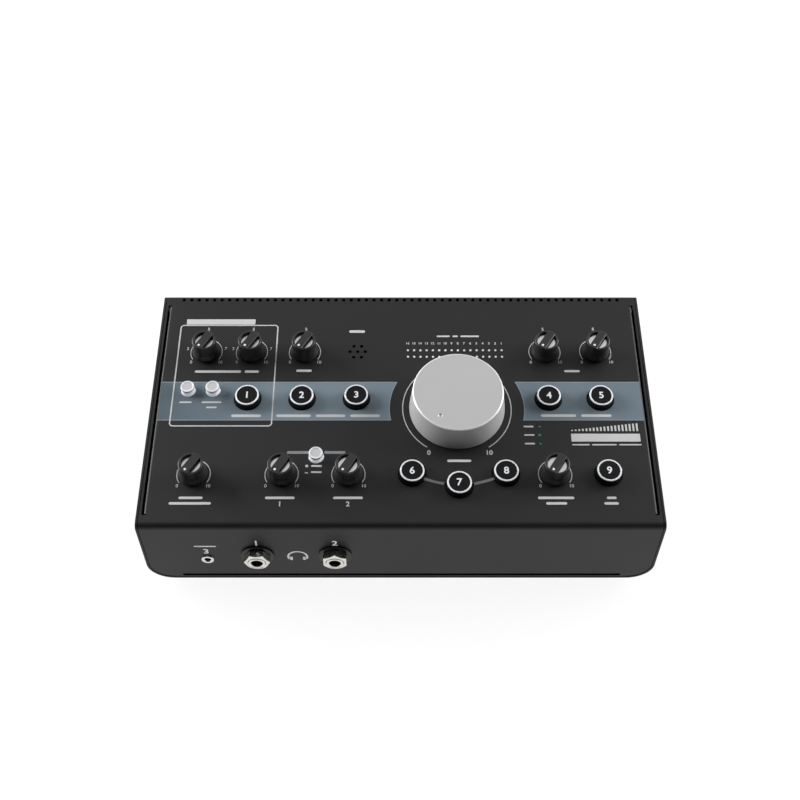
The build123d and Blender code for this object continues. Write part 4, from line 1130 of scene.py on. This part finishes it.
class CONTROLLER_OT_volume_knob(bpy.types.Operator):
    """The large silver knob with its cut edge, painted bright as a highlight, and finger dimple"""

    bl_idname = "controller.volume_knob"
    bl_label = "Volume knob"

    foot, crown_radius, cut_edge = 26.7, 24.9, 0.5
    gap, room, room_top = 0.4, 8.9, 4.4
    dimple_at, dimple, dimple_depth = 18.5, 1.4, 0.55
    turns = 160

    def execute(self, context):
        look, shape, _ = settings()
        seat = PANEL.at(*VOLUME, POINTER_DEG)
        top, face, wide = shape.volume_height, self.crown_radius - self.cut_edge, self.crown_radius
        shoulder = top - self.cut_edge
        # bright: the cut edge's finish, with its painted highlight
        satin, bright = satin_silver(look), turned_edge_highlight(look)
        inner = (self.room, self.room_top)
        flank = [inner, (self.room, self.gap, 0.2), (self.foot, self.gap, 0.5), (wide, shoulder)]
        shells = [
            turned(seat, flank, self.turns),
            turned(seat, [inner, (0, self.room_top)], self.turns),
            *self.lid(seat, face, top - 0.02),
            lathe(seat, [(wide, shoulder), (face, top - 0.02)], self.turns),
        ]
        make("volume_knob_body", "volume_silver", satin, shells, "volume_knob", body="volume_dial")
        edge = [
            (wide, shoulder), (face, top - 0.004), (face - 0.2, top - 0.002), (face - 0.2, top - 0.3),
            (wide, shoulder - 0.05),
        ]
        make("volume_knob_edge", "volume_silver", bright, [ring(seat, edge, self.turns)], body="volume_dial")
        return {"FINISHED"}

    def lid(self, seat, face, top):
        """The flat crown with a hole, and a bowl in it: depth falls off with the square of the distance."""
        flat, triangles = cut([circle(0, 0, face, self.turns)], [circle(self.dimple_at, 0, self.dimple, 32)])
        disc = (seat.points(np.column_stack([flat, np.full(len(flat), top)])), triangles.tolist())
        r = np.linspace(self.dimple, 0, 8)
        depth = self.dimple_depth * (1 - (r / self.dimple) ** 2)
        return disc, lathe(seat.at(self.dimple_at, 0), np.column_stack([r, top - depth]), 32)


def plunger(seat, cap, turns, ears, stem, depth):
    """A push cap: its lathed head, two ears under the sheet that keep it in, and its stem."""
    ears_low, ears_high = -2.9, -1.5
    return [
        turned(seat, cap, turns),
        slab(seat, [box(0, 0, *ears)], [], ears_low, ears_high),
        slab(seat, [box(0, 0, stem, stem, 0.3)], [], -depth, ears_low),
    ]


class CONTROLLER_OT_keys(bpy.types.Operator):
    """Nine round black keys, each with a light ring and a plain number"""

    bl_idname = "controller.keys"
    bl_label = "Round keys"

    skirt, base, top = -2.4, 7.45, 6.6
    ears, stem, stem_depth = (17.6, 5.0, 0.5), 3.6, 10.5

    def execute(self, context):
        look, shape, _ = settings()
        dark = shade(look.knob, 0.35)
        black = moulded("key_black", dark, 0.5, grain=0.4, depth=0.006, Specular_IOR_Level=0.15)
        light = lit_lens("key_ring", look.cap, 0.1)
        high, inner, top = shape.key_height, self.top - shape.ring_width, self.top
        ledge = high - 0.5
        cap = [
            (0, self.skirt), (self.base, self.skirt, 0.2), (top + 0.05, ledge), (inner - 0.05, ledge),
            (inner - 0.05, high - 0.06, 0.12), (0, high - 0.16),
        ]
        rim = [(inner, ledge), (top + 0.02, ledge), (top - 0.02, high, 0.3), (inner, high, 0.1)]
        for count, node in enumerate(KEYS, 1):
            seat = PANEL.at(*crown(node))
            body = node.removesuffix("_key") + "_cap"
            shells = plunger(seat, cap, 72, self.ears, self.stem, self.stem_depth)
            make(f"{node}_cap", "key_black", black, shells, node, body=body)
            make(f"{node}_ring", "push_white", light, [ring(seat, rim, 72, 4)], body=body)
            shells = numerals(seat.at(0, 0, lift=high - 0.12), [(str(count), 0, 0)], 4.1, 0.06)
            make(f"{node}_number", "push_white", light, shells, body=body)
        return {"FINISHED"}


class CONTROLLER_OT_push_caps(bpy.types.Operator):
    """Three off-white push caps with a shallow dish"""

    bl_idname = "controller.push_caps"
    bl_label = "Push caps"

    skirt, base, top, dish = -2.4, 4.0, 3.8, 0.2
    ears, stem, stem_depth = (10.4, 3.0, 0.4), 2.8, 10.2

    def execute(self, context):
        look, shape, _ = settings()
        high = shape.push_height
        white = cap_with_painted_light(look, high)
        cap = [
            (0, self.skirt), (self.base, self.skirt, 0.2), (self.top, high, 0.3), (3.1, high, 0.3),
            (2.7, high - self.dish, 0.4), (0, high - self.dish),
        ]
        for node in PUSHES:
            name = node.removesuffix("_push_button") + "_push_cap"
            shells = plunger(PANEL.at(*crown(node)), cap, 56, self.ears, self.stem, self.stem_depth)
            make(f"{name}_body", "push_white", white, shells, node, body=name)
        return {"FINISHED"}


class CONTROLLER_OT_lights(bpy.types.Operator):
    """Meter lights and status lights"""

    bl_idname = "controller.lights"
    bl_label = "Lights"

    strip_low, strip_top = -2.8, -1.6

    def execute(self, context):
        milky = lit_lens("meter_lens", (0.85, 0.86, 0.88), 0.06)
        meter = slab(PANEL, [box(u, v, 1.1, 1.1, 0.3) for u, v in METER], [], self.strip_top, 0.12)
        strip = slab(PANEL, [box(METER_U, METER_V, 57.6, 10.5, 0.6)], [], self.strip_low, self.strip_top)
        make("meter_lights", "light_lens", milky, [meter, strip], "light_pipes")
        for (u, v), name, glow in zip(STATUS, ("power", "link", "phantom"), (0.02, 0.5, 0.06)):
            green = lit_lens(f"{name}_green", (0.015, 0.16, 0.11), glow)
            lens = turned(PANEL.at(u, v), [(0, 0.15), (0.8, 0.1, 0.3), (0.8, -3.0), (0, -3.0)], 24, 4)
            make(f"{name}_light", "light_lens", green, [lens])
        return {"FINISHED"}


# --- Sockets ---

BORE, TUBE, TUBE_ROOM = 3.2, 4.7, 4.75  # radii of a jack tube's bore and outside, and of what it passes
TUBE_DEPTH = 4.4


def hexagon(seat, across, bore, low, high, turns=72):
    """A hexagon nut as one lathed grid: at angle a its side lies at half the width across the flats
    over the cosine of the angle from the nearest flat, and its chamfers fall away at 30 degrees from
    a circle just inside the flats."""
    apothem = across / 2
    face = apothem - 0.35

    def reach(angle, radius, height):
        """Rows 2 and 3 are the nut's side, lowered by its chamfers; the rest stay round."""
        side = apothem / np.cos((angle + pi / 6) % (pi / 3) - pi / 6)
        drop = (side - face) * tan(radians(30))
        radius[2:4] = side
        height[2] += drop[0]
        height[3] -= drop[0]
        return radius, height

    rows = [
        (bore, low), (face, low), (face, low), (face, high), (face, high),
        (bore + 0.4, high), (bore, high - 0.4), (bore, low),
    ]
    return lathe(seat, rows, turns, reach)


def jack_tube(seat, proud):
    """A jack's threaded tube: rounded mouth, thread grooves outside and a plain bore."""
    step, mouth = 0.375, proud - 1.0  # half the thread's pitch, and where the thread starts
    thread = [(TUBE - 0.12 * (i % 2), mouth - step * i) for i in range(int((proud - 1.2) / step))]
    corners = [
        (BORE, -TUBE_DEPTH), (BORE, proud - 0.2), (BORE + 0.2, proud, 0.08), (TUBE - 0.1, proud, 0.35),
        (TUBE, mouth),
    ]
    line = rounded(corners, 4, 0.1)[0]
    return lathe(seat, [*line, *thread, (TUBE - 0.05, -TUBE_DEPTH), (BORE, -TUBE_DEPTH)], 56)


class CONTROLLER_OT_front_sockets(bpy.types.Operator):
    """Headphone sockets with collar and nut, and the small socket"""

    bl_idname = "controller.front_sockets"
    bl_label = "Front sockets"

    collar_radius, collar = 9.0, 1.0
    # a nut: its width across the flats, its bore's radius, and its heights over the seat
    front_nut, rear_nut = (12.4, TUBE_ROOM, 1.0, 5.5), (12.7, TUBE_ROOM, 0.0, 2.4)
    volume_nut = (12.0, 4.55, 0.0, 2.2)
    small_bore = 1.78

    def execute(self, context):
        nickel = metal("bright_nickel", (0.72, 0.70, 0.66), 0.26, grain=0.5, depth=0.003)
        black = moulded("collar_black", (0.013, 0.013, 0.014), 0.42, Specular_IOR_Level=0.4)
        dark = moulded("socket_black", (0.012, 0.012, 0.013), 0.5)
        sleeve = moulded("socket_brown", (0.02, 0.013, 0.011), 0.5)
        seats = [FRONT.at(*mount_xz(name)) for name in PHONES]
        rear = [rear_seat(*mount_xz(name)) for name in LINE_SOCKETS]
        wide, high = self.collar_radius, self.collar
        collar = [(TUBE_ROOM, 0), (wide, 0), (wide, high, 0.2), (TUBE_ROOM, high, 0.2)]
        collars = [ring(seat, collar, 72) for seat in seats]
        make("phones_rings", "collar_black", black, collars, "phones_collars")
        liner = [(3.12, -4.3), (3.12, -0.2), (3.19, 3.4), (3.19, -4.3)]
        make("socket_sleeves", "component_black", sleeve, [ring(seat, liner, 48) for seat in (*seats, *rear)])
        nuts = [hexagon(seat.at(0, 0, turn), *self.front_nut) for seat, turn in zip(seats, (30, 0))]
        nuts += [hexagon(seat, *self.rear_nut) for seat in rear]
        nuts.append(hexagon(PANEL.at(*VOLUME), *self.volume_nut))
        make("hexagon_nuts", "bright_nickel", nickel, nuts, "panel_nuts")
        tubes = [jack_tube(seat, FRONT_PROUD) for seat in seats]
        tubes += [jack_tube(seat, REAR_PROUD) for seat in rear]
        make("jack_tubes", "bright_nickel", nickel, tubes, "jack_ferrules")
        self.small_socket(nickel, dark)
        return {"FINISHED"}

    def small_socket(self, nickel, dark):
        """A turned ring in front of a box with a round bore, closed at its end."""
        place, bore = mount_xz("aux_input"), self.small_bore
        profile = [(bore, -3.0), (bore, 0.5), (2.1, 0.8, 0.1), (3.3, 0.8, 0.2), (3.5, 0.4), (3.5, -3.0)]
        make("small_socket_ring", "bright_nickel", nickel, [ring(FRONT.at(*place), profile, 48)])
        x, z, width, height, _, y_end = extent("aux_jack")
        depth, hole = y_end - Y_FRONT, circle(*place, bore, 36)
        shell = slab(FRONT, [box(x, z, width, height, 0.4)], [hole], -depth, -1.4)
        end = slab(FRONT, [hole], [], -depth, -depth + 0.8)
        make("small_socket_body", "component_black", dark, [shell, end], "aux_jack")


class CONTROLLER_OT_rear_sockets(bpy.types.Operator):
    """Combined sockets, USB socket, power inlet and power switch"""

    bl_idname = "controller.rear_sockets"
    bl_label = "Rear sockets"

    combo_size, combo_face, combo_end = 26.0, -1.4, -35.4
    ring_floor, ring_radius, nose_radius = -10.8, 9.7, 11.8
    insert_radius, insert_face, pin_circle = 7.9, -0.5, 5.9
    inlet_bore, inlet_end = 3.2, -9.5
    wing_tilt, wing_waist, wing_rise, wing_length = 8.0, 3.7, 1.5, 8.2
    mark_at = 4.4

    def execute(self, context):
        black = moulded("socket_moulding", (0.016, 0.016, 0.018), 0.4)
        nickel = metal("contact_nickel", (0.7, 0.68, 0.64), 0.25)
        gold = metal("contact_gold", (0.75, 0.55, 0.25), 0.28)
        sockets = [self.combined(rear_seat(*mount_xz(name))) for name in COMBO_SOCKETS]
        housings, inserts, contacts = ([shell for part in parts for shell in part] for parts in zip(*sockets))
        make("combined_sockets", "component_black", black, housings, "combo_housings")
        make("combined_inserts", "component_black", black, inserts, "combo_inserts")
        make("combined_contacts", "bright_nickel", gold, contacts)
        self.usb(nickel, black)
        self.inlet(black, nickel)
        self.switch()
        return {"FINISHED"}

    def combined(self, seat):
        """Shells of a combined socket: its housing with a round nose, the insert with three pin holes
        round a plug hole, and the contacts in them."""
        inner, nose, wide = self.ring_radius, self.nose_radius, self.combo_size / 2
        floor, face = self.ring_floor, self.combo_face
        profile = [
            (inner, floor), (inner, 0.8), (10.1, 1.2, 0.15), (11.5, 1.2, 0.25), (nose, 0.8), (nose, face),
            (wide, face), (wide, floor),
        ]
        block = box(0, 0, self.combo_size, self.combo_size, 0.6)
        housing = [
            ring(seat, profile, 96),
            slab(seat, [block], [circle(0, 0, 3.35, 32)], self.combo_end, floor),
            slab(seat, [block], [circle(0, 0, 11.85, 72)], floor, face),
        ]
        pins = [(self.pin_circle * cos(a), self.pin_circle * sin(a)) for a in np.radians((90, 210, 330))]
        holes = [circle(0, 0, BORE, 40), *(circle(x, y, 1.25, 20) for x, y in pins)]
        radius, top, low = self.insert_radius, self.insert_face, self.insert_face - 0.4
        insert = [
            slab(seat, [circle(0, 0, radius, 80)], holes, floor, low),
            ring(seat, [(radius, low), (7.6, top, 0.2), (7.25, top), (7.25, low)], 80),
            slab(seat, [circle(0, 0, 7.3, 80)], holes, low, top),
        ]
        contact = [(0.7, -12), (1.2, -12), (1.2, face, 0.1), (0.7, face, 0.1)]
        return housing, insert, [ring(seat.at(x, y), contact, 20) for x, y in pins]

    def usb(self, nickel, black):
        """A folded metal shell round a tongue; the mouth's upper corners are cut off."""
        x, z, width, height, y_low, y_high = extent("usb_socket")
        seat, depth = rear_seat(x, z, y_high), y_high - y_low
        mouth = loop([
            (-4.25, -3.9, 0.3), (4.25, -3.9, 0.3),
            (4.25, 2.3, 0.2), (2.7, 3.9, 0.2), (-2.7, 3.9, 0.2), (-4.25, 2.3, 0.2),
        ])
        shell = slab(seat, [box(0, 0, width, height, 0.5)], [mouth], -depth, 0.0)
        make("usb_shell", "bright_nickel", nickel, [shell], "usb_socket")
        tongue = slab(seat, [box(0, 0, 5.6, 3.2, 0.3)], [], -10.0, -0.6)
        base = slab(seat, [mouth], [], 0.5 - depth, -10.0)
        make("usb_tongue", "component_black", black, [tongue, base])

    def inlet(self, black, nickel):
        """A square housing with a round mouth and a centre pin."""
        x, z, width, height, y_low, y_high = extent("power_inlet")
        seat, end = rear_seat(x, z, y_high), self.inlet_end
        outline = box(0, 0, width, height, 0.5)
        shells = [
            slab(seat, [outline], [circle(0, 0, self.inlet_bore, 48)], end, 0.0),
            slab(seat, [outline], [], y_low - y_high, end),
        ]
        make("inlet_housing", "component_black", black, shells, "power_inlet")
        pin = turned(seat, [(0, -0.8), (1.0, -1.0, 0.4), (1.0, end), (0, end)], 24)
        make("inlet_pin", "bright_nickel", nickel, [pin])

    def switch(self):
        """Plain stroke and ring marks on the rocker's two wings, whose faces run from the waist over
        the pivot to the shoulders; the rocker is drawn tilted."""
        white = moulded("mark_white", (0.6, 0.6, 0.6), 0.45, mottle=0.03)
        pivot, tilt = np.array(JOINTS["power_rock"]["pos_m"]) / MM, radians(self.wing_tilt)
        waist = pivot + (0, self.wing_waist * cos(tilt), -self.wing_waist * sin(tilt))
        stroke, spot = [bar(0.0, self.mark_at, 0.55, 3.0)], (0.0, -self.mark_at)
        marks = (("on", 1, stroke, []), ("off", -1, [circle(*spot, 1.5, 32)], [circle(*spot, 1.0, 32)]))
        for name, sign, outline, holes in marks:
            lean = tilt + sign * atan2(self.wing_rise, self.wing_length)
            seat = Seat(waist, (-1, 0, 0), (0, cos(lean), -sin(lean)))
            shell = slab(seat, outline, holes, -0.05, 0.03)
            make(f"rocker_mark_{name}", "push_white", white, [shell], body="power_rocker_cap")


# --- What shows through the openings ---


class CONTROLLER_OT_inside(bpy.types.Operator):
    """Finishes for the pieces of the frame that stay"""

    bl_idname = "controller.inside"
    bl_label = "Inside"

    def execute(self, context):
        finishes = {
            "board_green": board_green("board_green"),
            "bright_nickel": metal("inner_nickel", (0.66, 0.64, 0.6), 0.3),
            "component_black": moulded("component_black", (0.018, 0.018, 0.02), 0.45),
            "ribbon_grey": ribbon_grey("ribbon_grey"),
            "mic_rubber": moulded("mic_rubber", (0.02, 0.02, 0.02), 0.8, grain=0.6, depth=0.04),
        }
        slots = {part["node"]: part["material_slot"] for part in frame["record"]["subparts"]}
        for node, piece in frame["nodes"].items():
            if piece.hide_render:
                continue
            material = finishes.get(slots[node])
            if material is None:
                raise RuntimeError(f"{node} is shown, but no finish is made for {slots[node]}")
            for held in piece.material_slots:
                held.material = material
            if not piece.material_slots:
                piece.data.materials.append(material)
        return {"FINISHED"}


# --- Add-on ---


class CONTROLLER_PT_sidebar(bpy.types.Panel):
    bl_idname = "CONTROLLER_PT_sidebar"
    bl_label = "Controller"
    bl_space_type = "VIEW_3D"
    bl_region_type = "UI"
    bl_category = "Controller"

    def draw(self, context):
        for operator in OPERATORS:
            self.layout.operator(operator.bl_idname)
        for group in settings():
            column = self.layout.column()
            for name in group.bl_rna.properties.keys():
                if name not in ("rna_type", "name"):
                    column.prop(group, name)


OPERATORS = (
    CONTROLLER_OT_stage,
    CONTROLLER_OT_case,
    CONTROLLER_OT_fixings,
    CONTROLLER_OT_print,
    CONTROLLER_OT_small_knobs,
    CONTROLLER_OT_volume_knob,
    CONTROLLER_OT_keys,
    CONTROLLER_OT_push_caps,
    CONTROLLER_OT_lights,
    CONTROLLER_OT_front_sockets,
    CONTROLLER_OT_rear_sockets,
    CONTROLLER_OT_inside,
)
GROUPS = {
    "controller_finish": FinishSettings,
    "controller_shape": ShapeSettings,
    "controller_stage": StageSettings,
}


def register():
    for group in (*GROUPS.values(), *OPERATORS, CONTROLLER_PT_sidebar):
        bpy.utils.register_class(group)
    for name, group in GROUPS.items():
        setattr(bpy.types.Scene, name, PointerProperty(type=group))


def unregister():
    for name in GROUPS:
        delattr(bpy.types.Scene, name)
    for group in (CONTROLLER_PT_sidebar, *reversed(OPERATORS), *GROUPS.values()):
        bpy.utils.unregister_class(group)


def main():
    register()
    for operator in OPERATORS:
        space, name = operator.bl_idname.split(".")
        getattr(getattr(bpy.ops, space), name)()
    bpy.context.view_layer.update()


if __name__ == "__main__":
    main()
